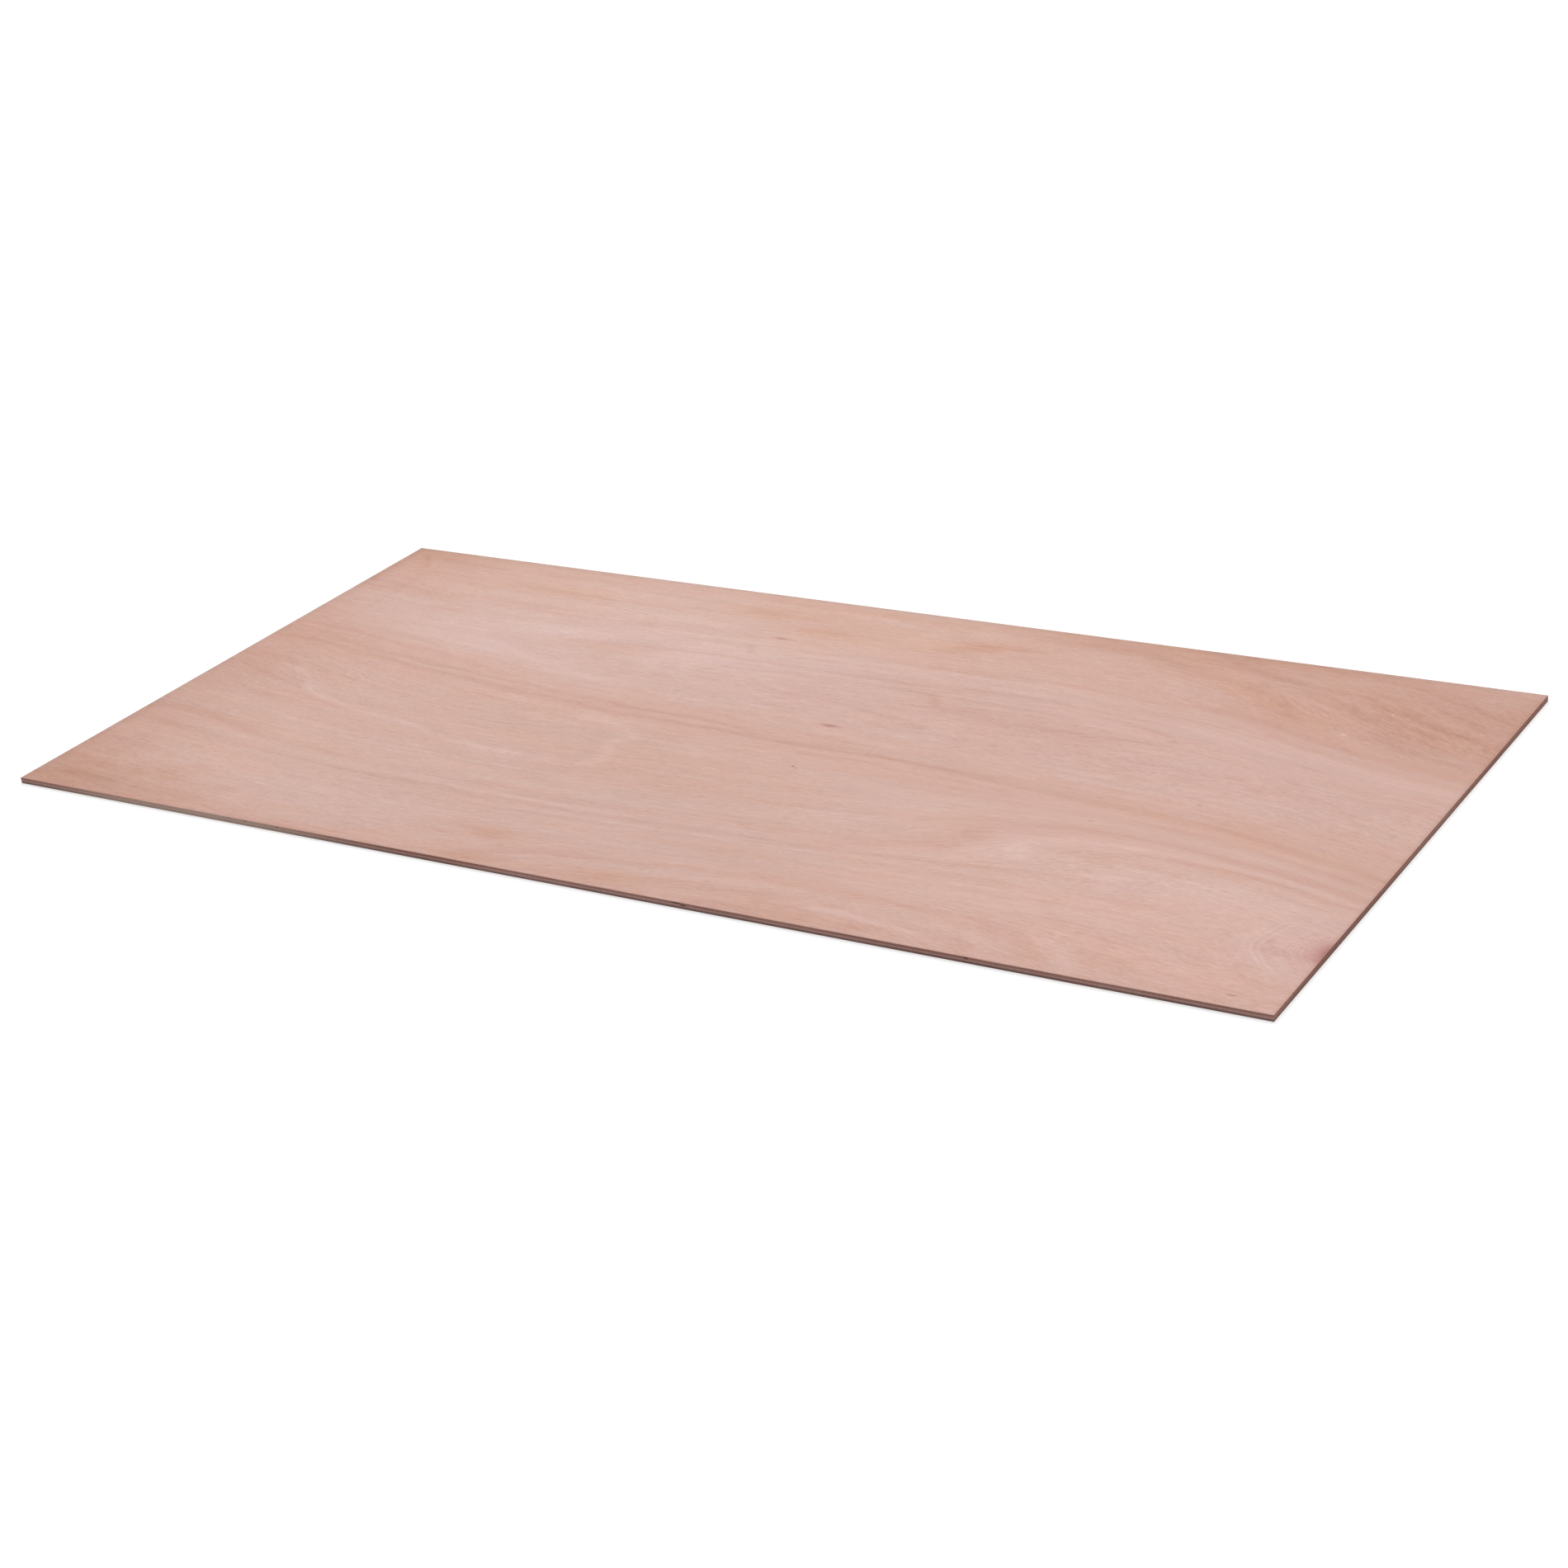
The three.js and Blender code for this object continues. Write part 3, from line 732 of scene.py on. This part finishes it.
FACE_ROSY_SPOTS = [  # patches that are more or less pink
    (-610, 0, 6, 2000, 0, -4), (0, 305, 2000, 5, 0, -5),  # the rim
    (430, 0, 240, 330, 0, 1.3), (-600, 90, 30, 50, 0, 1.5), (20, 265, 70, 26, 0, -2.5),
    (-330, -180, 90, 24, 0, -1.3), (-110, -152, 170, 8, 0, -2.2), (330, -76, 110, 10, 0.02, 1.4),
    (490, -84, 90, 10, -0.2, 1.4), (230, -30, 220, 16, -0.1, 0.8), (-440, 66, 60, 10, -0.2, 1.5),
    (-200, 12, 60, 8, -0.1, 1.8), (-430, -110, 90, 10, -0.2, 1), (-550, -40, 50, 30, 0, 0.8),
    (-500, -250, 60, 24, 0, -1.2), (330, -200, 60, 40, 0, -0.8), (360, -130, 30, 24, 0, -1),
    (-160, 262, 60, 16, 0, -1), (150, -240, 160, 8, 0, 1), (-60, 232, 30, 14, 0, 1),
    (401, -276, 16, 12, -1.5, 2), (346, -288, 16, 8, -0.6, 2), (456, -283, 10, 20, 0, 1.5),
    (539, -285, 12, 12, -1.3, 1.5), (-10, -262, 60, 6, 0.12, 1.5), (300, -84, 42, 10, 0.18, 2),
    (430, -102, 80, 5, 0, 2), (-540, -126, 70, 9, -0.15, -2), (540, -220, 110, 70, 0, 2.5),
    (-570, -200, 60, 40, 0, -1), (400, -200, 80, 60, 0, 1.5),
]
FACE_CALMS = [  # patches where the fine lines fade
    (500, -172, 90, 40, 0, 0.8), (360, -140, 50, 24, 0, 0.6), (0, 300, 900, 40, 0, 0.3),
    (400, -280, 300, 36, 0, 0.4), (0, 112, 110, 16, 0, 0.7), (110, -40, 130, 13, 0, 0.8),
    (-430, -203, 110, 22, 0, 0.6), (-150, -214, 150, 14, 0, 0.5), (-545, 130, 60, 30, 0, 0.6),
    (200, -115, 40, 30, 0, 0.7),
]
FACE_ARCS = [(585, -205, 60, 60, 0, 1.0)]  # the arcs round the knot at the right end
FACE_VEINS = [  # dark and pale lines
    # in the stained wood along the back edge
    (-0.28, 3.6, (-589, 288), (-580, 276), (-570, 262)),
    (-0.22, 5, (330, 284), (345, 278), (360, 272), (380, 265), (405, 260)),
    (-0.10, 4, (-562, 283), (-520, 280), (-480, 280)),
    (-0.14, 5, (180, 283), (230, 281), (260, 276), (290, 266), (322, 263)),
    (-0.06, 3.5, (-430, 280), (-395, 279)),
    (0.08, 4, (383, 277), (400, 272), (417, 266)),
    (-0.05, 4, (-325, 274), (-275, 272)),
    (-0.12, 4.5, (525, 270), (560, 256), (606, 234)),
    (-0.09, 6, (253, 269), (290, 261), (337, 249), (360, 236), (380, 223), (398, 211), (417, 195)),
    (-0.07, 3, (540, 264), (570, 246), (605, 224)),
    (0.07, 3, (571, 264), (586, 246), (594, 221), (602, 191)),
    (-0.06, 2.6, (400, 261), (440, 255)),
    (-0.07, 4, (-55, 256), (-20, 257), (15, 256)),
    (-0.14, 3.5, (82, 250), (105, 250), (128, 251), (150, 255)),
    (-0.18, 3.2, (440, 255), (463, 251), (473, 244), (480, 236), (493, 230), (517, 224), (537, 211),
     (550, 204), (586, 193)),
    (-0.07, 2.6, (-335, 240), (-290, 239), (-250, 242), (-205, 248)),
    (-0.12, 8, (-450, 247), (-420, 245), (-370, 242), (-328, 235)),
    (0.17, 3.4, (443, 247), (463, 236), (483, 224)),
    (0.12, 6, (390, 241), (410, 231), (430, 221)),
    (-0.07, 3.5, (-195, 227), (-150, 228), (-130, 232), (-95, 235), (-50, 232), (-5, 234)),
    (-0.12, 3.5, (478, 233), (493, 229), (512, 225)),
    (-0.14, 4, (456, 231), (465, 221), (472, 208), (487, 204)),
    (-0.10, 4, (47, 228), (65, 226), (95, 220)),
    (0.14, 4, (532, 227), (548, 222), (565, 216)),
    (-0.12, 4, (500, 218), (510, 204), (530, 196), (557, 186)),
    (-0.10, 3.6, (-612, 216), (-577, 211), (-550, 207), (-527, 201), (-477, 201)),
    (-0.11, 3, (-232, 209), (-205, 209), (-175, 206)),
    (-0.03, 3, (-370, 203), (-340, 205), (-300, 206)),
    (-0.11, 2.6, (-100, 205), (-80, 203), (-55, 203)),
    (-0.10, 5, (-277, 196), (-250, 197), (-210, 197), (-160, 198), (-130, 202)),
    # the back half: arches one inside another
    (-0.12, 3, (567, 203), (583, 196), (603, 182)),
    (-0.04, 3, (-423, 184), (-393, 191), (-343, 191), (-300, 191), (-277, 196)),
    (-0.06, 5, (408, 195), (424, 191)),
    (-0.08, 4.5, (-23, 189), (23, 192), (57, 190), (90, 189), (157, 192), (190, 192), (250, 187),
     (300, 181), (353, 180)),
    (-0.07, 2.6, (-200, 179), (-150, 180), (-120, 179), (-70, 180), (-43, 184), (-23, 189)),
    (-0.10, 5, (353, 185), (383, 178), (410, 170), (430, 161), (450, 152), (477, 145), (503, 135),
     (537, 131), (560, 123), (593, 114), (612, 109)),
    (-0.34, 2.6, (-128, 183), (-119, 169)),
    (0.10, 3, (-175, 171), (-110, 171), (-80, 168), (-60, 176), (0, 177), (40, 177), (80, 172)),
    (-0.05, 2.4, (-410, 169), (-360, 172), (-277, 176)),
    (0.13, 4, (468, 173), (487, 160), (500, 151)),
    (-0.06, 4.5, (-530, 164), (-500, 167), (-463, 168), (-410, 169)),
    (-0.09, 5, (490, 169), (510, 164), (537, 154), (570, 141), (600, 131)),
    (-0.06, 2.6, (120, 155), (170, 156), (230, 154)),
    (-0.16, 2.4, (120, 154), (165, 153), (210, 151), (235, 148)),
    (-0.08, 2.8, (-225, 147), (-143, 150), (-100, 150), (-50, 148), (-33, 147), (3, 149), (45, 151),
     (63, 146), (90, 142), (119, 142)),
    (-0.08, 2.6, (55, 149), (67, 145)),
    (0.07, 7, (-150, 142), (-195, 134), (-205, 117), (-190, 103)),
    (0.14, 7, (340, 141), (400, 127), (470, 113), (540, 97), (612, 85)),
    (-0.06, 2.4, (-395, 131), (-343, 132), (-300, 137)),
    (-0.13, 2.6, (-141, 115), (-128, 127), (-87, 131), (-50, 135), (-23, 133), (23, 135), (57, 136),
     (80, 134)),
    (-0.19, 2.5, (263, 134), (283, 132), (300, 129), (320, 125), (340, 115), (346, 107)),
    (-0.10, 2.6, (82, 133), (104, 132)),
    (-0.12, 4, (96, 132), (103, 125), (110, 111)),
    (-0.10, 2.4, (120, 132), (165, 130), (200, 129), (240, 124)),
    (0.06, 2.4, (120, 125), (200, 122), (280, 118), (320, 112)),
    (0.07, 6, (-412, 124), (-360, 104), (-310, 84), (-260, 69), (-195, 62)),
    (-0.12, 2.2, (137, 116), (162, 115)),
    (0.13, 3, (255, 116), (300, 114), (335, 109)),
    (-0.07, 2.6, (-88, 114), (-72, 102), (-42, 94), (-12, 91)),
    (0.10, 3, (-162, 112), (-150, 98), (-128, 84), (-95, 71), (-50, 60)),
    (0.05, 2.6, (-92, 112), (-70, 98), (-40, 86)),
    (-0.07, 2.4, (353, 111), (397, 107), (440, 104), (474, 97), (520, 91)),
    (0.11, 2.4, (-96, 110), (-84, 98), (-68, 87), (-43, 77), (-10, 70), (23, 64), (57, 57),
     (90, 49), (123, 42)),
    (-0.05, 5, (112, 107), (135, 104), (150, 103), (190, 99), (243, 96), (277, 94), (330, 98)),
    (0.08, 3, (-62, 106), (-24, 95), (10, 88)),
    (-0.05, 2.4, (110, 98), (180, 97), (240, 95), (300, 97), (338, 104)),
    (-0.08, 2.6, (-577, 97), (-543, 94), (-520, 87), (-493, 82), (-467, 75), (-437, 71), (-410, 68),
     (-383, 62), (-360, 57), (-300, 47)),
    (0.05, 2.4, (-610, 91), (-570, 88), (-530, 80)),
    (-0.14, 2.6, (-12, 91), (0, 89), (23, 86), (57, 82), (70, 78), (83, 74)),
    (-0.12, 2.4, (-453, 90), (-430, 86), (-410, 78)),
    (-0.08, 2, (-612, 83), (-580, 82), (-540, 76)),
    (-0.12, 3.6, (500, 76), (543, 67)),
    (-0.15, 3.6, (83, 73), (103, 67), (123, 62)),
    (-0.10, 4, (457, 72), (483, 61)),
    # the long dark lines through the middle, and beside them
    (-0.13, 2.6, (-567, 77), (-543, 71), (-520, 64), (-500, 58), (-477, 54), (-450, 52), (-423, 47),
     (-403, 42), (-370, 41), (-343, 37), (-310, 33), (-277, 32), (-250, 26), (-210, 25), (-190, 21),
     (-143, 17), (-77, 17), (-50, 12), (-23, 9), (3, 6), (30, 4), (57, 2), (123, 1)),
    (-0.10, 2.6, (-612, 57), (-583, 57), (-560, 57), (-543, 55), (-510, 49), (-487, 42), (-460, 40),
     (-437, 37), (-417, 30), (-393, 29), (-343, 26), (-327, 19), (-310, 15), (-293, 12), (-260, 12),
     (-210, 9), (-190, 4), (-165, 0), (-137, 1), (-97, -3), (-70, 1), (-30, 1), (-10, -2),
     (17, -5)),
    (0.04, 2.2, (100, 55), (170, 43), (210, 33), (285, 25), (357, 16)),
    (-0.14, 4, (443, 44), (452, 40), (457, 34)),
    (0.13, 3, (-440, 41), (-420, 39), (-400, 35)),
    (0.05, 2.2, (100, 35), (160, 30), (210, 24), (310, 12)),
    (-0.08, 2.4, (-67, 27), (3, 22), (23, 19), (80, 14)),
    (0.10, 3.6, (33, 27), (57, 26), (90, 21), (123, 17)),
    (-0.06, 2.2, (343, 14), (420, 7), (480, -1), (543, -11), (600, -25)),
    (0.08, 3, (-177, 10), (-77, 9), (-30, 5)),
    (-0.08, 3, (104, -2), (125, -4), (150, -5), (170, -7), (190, -10)),
    (-0.10, 2.6, (17, -5), (43, -6), (73, -5), (107, -3), (140, -5), (163, -7), (190, -9),
     (230, -11)),
    (-0.07, 4, (0, -3), (60, -3), (140, -4), (200, -9)),
    (-0.04, 8, (200, -7), (230, -11), (260, -16), (297, -19), (327, -23), (360, -26), (410, -30),
     (443, -34), (470, -39), (497, -48), (530, -58), (560, -63), (587, -71), (612, -78)),
    (-0.06, 2.2, (443, -8), (500, -16), (545, -25), (605, -43)),
    (-0.12, 2.4, (43, -19), (100, -18), (123, -20), (157, -23), (230, -29), (265, -34)),
    (0.05, 2.6, (200, -18), (267, -25), (327, -35), (377, -41), (423, -44), (460, -48)),
    (-0.03, 2.2, (250, -22), (293, -25), (343, -30), (397, -34), (437, -35), (497, -47),
     (535, -59)),
    (-0.07, 2.4, (380, -47), (430, -51), (470, -55), (520, -69)),
    # the front half, left
    (0.15, 3.6, (-545, -4), (-520, -9), (-507, -18), (-492, -30), (-489, -42), (-477, -49),
     (-453, -59), (-423, -68), (-397, -74), (-343, -80), (-315, -90), (-300, -97), (-270, -102),
     (-210, -106)),
    (0.18, 6, (-185, -15), (-150, -19), (-133, -26), (-120, -36), (-117, -44), (-128, -52),
     (-130, -59), (-120, -76), (-117, -93), (-130, -104)),
    (0.06, 3.2, (-480, -49), (-453, -59), (-423, -68), (-397, -75), (-343, -80)),
    (0.05, 9, (-300, -98), (-250, -103), (-200, -105), (-140, -107)),
    (0.07, 4, (-215, -106), (-150, -109), (-126, -102)),
    (-0.06, 8, (-531, -127), (-500, -139), (-474, -148)),
    (-0.06, 2.6, (-480, -148), (-450, -153), (-423, -155), (-390, -158), (-350, -163), (-310, -168),
     (-243, -170)),
    (-0.06, 2.6, (-612, -153), (-570, -156), (-543, -159), (-510, -164), (-487, -169), (-460, -174),
     (-423, -179), (-370, -183), (-343, -187), (-317, -188), (-287, -189), (-257, -187),
     (-210, -190), (-127, -191), (-77, -192), (-27, -189), (3, -187), (30, -183), (57, -181),
     (90, -180), (157, -181), (190, -178)),
    (-0.08, 4, (70, -162), (90, -167), (115, -165)),
    (-0.07, 5, (-195, -168), (-140, -173), (-100, -175), (-77, -171), (-23, -168), (23, -163)),
    (0.03, 3, (-440, -170), (-350, -176), (-280, -180), (-180, -184), (-80, -185), (0, -178),
     (60, -175)),
    (0.05, 3, (-560, -170), (-500, -180), (-440, -190), (-370, -195)),
    (0.08, 3, (-340, -201), (-290, -201), (-210, -200), (-160, -201), (-70, -199), (0, -195),
     (60, -190)),
    (-0.06, 2.6, (-183, -207), (-150, -208), (-110, -205), (-43, -204), (0, -205), (23, -199),
     (57, -196)),
    (-0.08, 4, (-320, -209), (-260, -211), (-205, -213)),
    # the front half, right: the arch over the pale wood
    (0.08, 3.6, (262, -76), (287, -71), (310, -66), (350, -61)),
    (-0.10, 4.5, (210, -101), (237, -93), (277, -80), (310, -79), (343, -73), (377, -74),
     (423, -74), (460, -79), (493, -88), (523, -93), (555, -102), (612, -119)),
    (0.08, 4, (400, -91), (440, -90), (480, -96), (530, -104), (580, -115)),
    (0.09, 9, (400, -91), (345, -94), (312, -111), (298, -136), (270, -151)),
    (-0.08, 3, (350, -118), (362, -111), (383, -108), (410, -103), (437, -103), (463, -103),
     (497, -105), (520, -109), (547, -114), (577, -122), (612, -135)),
    (-0.10, 3, (190, -178), (237, -171), (277, -168), (297, -164), (327, -162), (357, -158),
     (383, -161), (400, -159)),
    (-0.02, 2.6, (210, -188), (230, -185), (253, -181), (293, -181), (327, -184), (367, -184),
     (443, -184)),
    (-0.055, 3, (300, -204), (353, -207)),
    (-0.12, 6, (373, -207), (390, -220), (407, -232)),
    # arches at the front edge
    (-0.10, 4, (423, -237), (483, -242)),
    (-0.10, 3, (-112, -285), (-80, -274), (-50, -268), (-23, -263), (-3, -259), (23, -259),
     (43, -253), (70, -248), (90, -246), (157, -245), (243, -242), (270, -246), (327, -246),
     (350, -249), (370, -254), (387, -259), (394, -268)),
    (0.10, 4, (30, -270), (70, -264), (100, -260), (140, -256), (185, -255)),
    (-0.05, 4, (380, -257), (397, -270), (413, -290), (418, -302)),
    (0.15, 7, (395, -263), (418, -276), (442, -293)),
    (-0.11, 5, (437, -266), (477, -270)),
    (-0.10, 4.5, (394, -268), (405, -286)),
    (-0.05, 4, (449, -268), (457, -286), (462, -302)),
    (-0.08, 5, (10, -284), (60, -278), (110, -274), (157, -270), (175, -269)),
    (-0.08, 4, (150, -270), (165, -269)),
    (0.07, 4, (160, -270), (205, -273), (245, -277), (290, -283), (330, -298)),
    (-0.05, 4, (528, -272), (542, -289), (548, -302)),
    (0.16, 6, (343, -273), (368, -291)),
    (0.09, 4, (350, -273), (363, -280), (380, -290), (394, -301)),
    (0.16, 4, (205, -274), (240, -276), (270, -279), (300, -284), (330, -292)),
    (-0.05, 3.5, (328, -279), (346, -287), (358, -300)),
    (0.12, 5, (70, -291), (110, -285), (150, -284)),
    # round the knot at the right end
    (0.06, 3.6, (566, -185), (560, -201), (568, -217), (590, -233)),
    (0.13, 4.5, (551, -187), (544, -198), (548, -211), (560, -225), (588, -243)),
    (-0.20, 2.6, (562, -197), (568, -209), (575, -219)),
    (-0.10, 4, (493, -239), (543, -244), (577, -244)),
]
FACE_KNOTS = [  # x, y, half length, half width, strength, colour
    (42, 41, 30, 7, 0.5, tint(196, 140, 130)), (41, 41, 13, 4.4, 0.5, tint(150, 96, 90)),
    (-107, 206, 24, 5, 0.45, tint(192, 140, 118)), (-108, 206, 11, 3.6, 0.45, tint(156, 104, 84)),
    (54, -46, 2.5, 2.5, 0.8, tint(140, 92, 80)), (58, -48.5, 2, 1.8, 0.7, tint(140, 92, 80)),
    (345, -58, 5, 2, 0.4, tint(170, 130, 96)), (417, 0, 5, 2, 0.5, tint(160, 120, 92)),
    (475, 170, 5.5, 4, 0.4, tint(236, 214, 200)), (500, 223, 2.2, 2, 0.45, tint(240, 222, 208)),
    (570, -288, 7, 2.4, 0.6, tint(160, 110, 90)),
    (614, -203, 34, 38, 0.6, tint(184, 126, 122)), (614, -205, 18, 26, 0.55, tint(156, 96, 94)),
]
FACE_WOOD = [  # broad tone, colour
    (-0.4, tint(177, 126, 104)), (0, tint(194, 146, 127)), (0.5, tint(208, 168, 154)),
    (1, tint(221, 189, 180)), (1.2, tint(226, 197, 190)),
]
FACE_STAIN = tint(212, 163, 137)
FACE_EDGE = [(0, tint(152, 102, 90)), (0.5, tint(182, 130, 118)), (1, tint(210, 164, 150))]
FACE_END = [(0, tint(152, 106, 94)), (0.5, tint(194, 142, 128)), (1, tint(224, 177, 162))]
FLECKS = [(-560.6, FRONT_EDGE, 4.7, 1.6, 0.5)]  # pale torn places, with no depth

low, high = (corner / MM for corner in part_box("face_veneer"))
x = grid_lines(low.x, high.x, pitch=4.6, extra=VOID_LINES)
y = grid_lines(low.y, high.y, pitch=2.2)
loops, column, row = sawn_loops(
    "face_veneer", x, y,
    levels=[0, 0.07, 0.3, 0.7, 1.2, 1.55, 1.68, 1.75],
    long_edge=[0.10, 0.05, 0.03, 0.03, 0.03, 0.03, 0.07, 0.22],
    short_edge=[0.13, 0.09, 0.07, 0.07, 0.07, 0.07, 0.10, 0.24],
    chips=VOIDS,
)
points, faces, finishes = closed_veneer(loops, column, row, x, y, shown="top")
face_materials = [
    sanded_veneer("face_wood", FACE_TONES, FACE_WOOD, FACE_STAIN, FACE_KNOTS),
    sawn_wood(
        "face_sawn_along", FACE_EDGE, LONG_GRAIN, depth=0.02, lighter=0.6, voids=VOIDS, flecks=FLECKS
    ),
    sawn_wood("face_sawn_across", FACE_END, END_GRAIN, depth=0.05),
]
along, across, _ = points.T
ring = bent_plate(along, across, FACE_RINGS)
hue_ring, warmer, rosier = np.array(FACE_HUES).T
make_piece(
    "face_ply", "face_veneer", "face_veneer", points, faces, finishes, face_materials,
    ring=ring,
    lean=bent_plate(along, across, FACE_GRAIN, slack=0.5) - across,
    arc=patches(along, across, FACE_ARCS),
    shade=patches(along, across, FACE_SHADES),
    vein=veins(along, across, FACE_VEINS),
    stain=patches(along, across, FACE_STAINS),
    grey=patches(along, across, FACE_GREYS),
    warm=np.interp(ring, hue_ring, warmer) + patches(along, across, FACE_WARM_SPOTS),
    rosy=np.interp(ring, hue_ring, rosier) + patches(along, across, FACE_ROSY_SPOTS),
    calm=patches(along, across, FACE_CALMS),
)


# ---- Floor, light and camera --------------------------------------------------------------
# The sheet lies on a wide pale floor, under an even sky and one broad soft lamp high behind its
# left end, so that the sawn front and right edges are in the shade.

FLOOR_REACH = 20  # metres from the sheet to each side of the floor

floor_corners = FLOOR_REACH * np.array([(-1, -1, 0), (1, -1, 0), (1, 1, 0), (-1, 1, 0)])
floor_mesh = bpy.data.meshes.new("floor")
floor_mesh.from_pydata(floor_corners.tolist(), [], [(0, 1, 2, 3)])
floor = bpy.data.objects.new("floor", floor_mesh)
bpy.context.scene.collection.objects.link(floor)


def seen(tree):
    """1 for what the camera sees, directly or in a gloss, and 0 for what lights the object."""
    rays = add(tree, "LightPath", {}).outputs
    glossy = sums(tree, "MAXIMUM", rays["Is Camera Ray"], rays["Is Glossy Ray"])
    return sums(tree, "MAXIMUM", glossy, rays["Is Transmission Ray"])


paper, tree = new_finish("pale_floor")
surface = tree.nodes["Principled BSDF"]
surface.inputs["Base Color"].default_value = (0.5, 0.5, 0.5, 1)
surface.inputs["Roughness"].default_value = 1.0
surface.inputs["Specular IOR Level"].default_value = 0.0
surface.inputs["Emission Color"].default_value = (1, 1, 1, 1)
tree.links.new(sums(tree, "MULTIPLY", seen(tree), 0.62), surface.inputs["Emission Strength"])
floor_mesh.materials.append(paper)

sky = bpy.data.worlds.new("sky")
sky.use_nodes = True
background = sky.node_tree.nodes["Background"]
background.inputs["Color"].default_value = (1, 1, 1, 1)
brightness = spread(sky.node_tree, seen(sky.node_tree), 0.4, 1.0, from_low=0.0, from_high=1.0)
sky.node_tree.links.new(brightness, background.inputs["Strength"])
bpy.context.scene.world = sky

lamp_data = bpy.data.lights.new("soft_lamp", "SUN")
lamp_data.energy = 2.3
lamp_data.angle = math.radians(50)
lamp = bpy.data.objects.new("soft_lamp", lamp_data)
to_lamp = Vector((-0.45, 0.71, 1))
lamp.rotation_euler = to_lamp.to_track_quat("Z", "Y").to_euler()
bpy.context.scene.collection.objects.link(lamp)

# The camera stands 2.7 m off, in front of the sheet and to its right, looks down by 24 degrees
# and is rolled clockwise by 5.5 degrees.
camera_data = bpy.data.cameras.new("camera")
camera_data.sensor_width = 36
camera_data.lens = 72.791
camera_data.shift_x = -0.0182
camera = bpy.data.objects.new("camera", camera_data)
camera.location = (1.4158, -2.1549, 1.1291)
looked_at = Vector((0.0825, -0.062, 0))
view = looked_at - camera.location
roll = Quaternion((0, 0, 1), math.radians(-5.465))
camera.rotation_mode = "QUATERNION"
camera.rotation_quaternion = view.to_track_quat("-Z", "Y") @ roll
bpy.context.scene.collection.objects.link(camera)
bpy.context.scene.camera = camera
bpy.context.scene.view_settings.view_transform = "Standard"
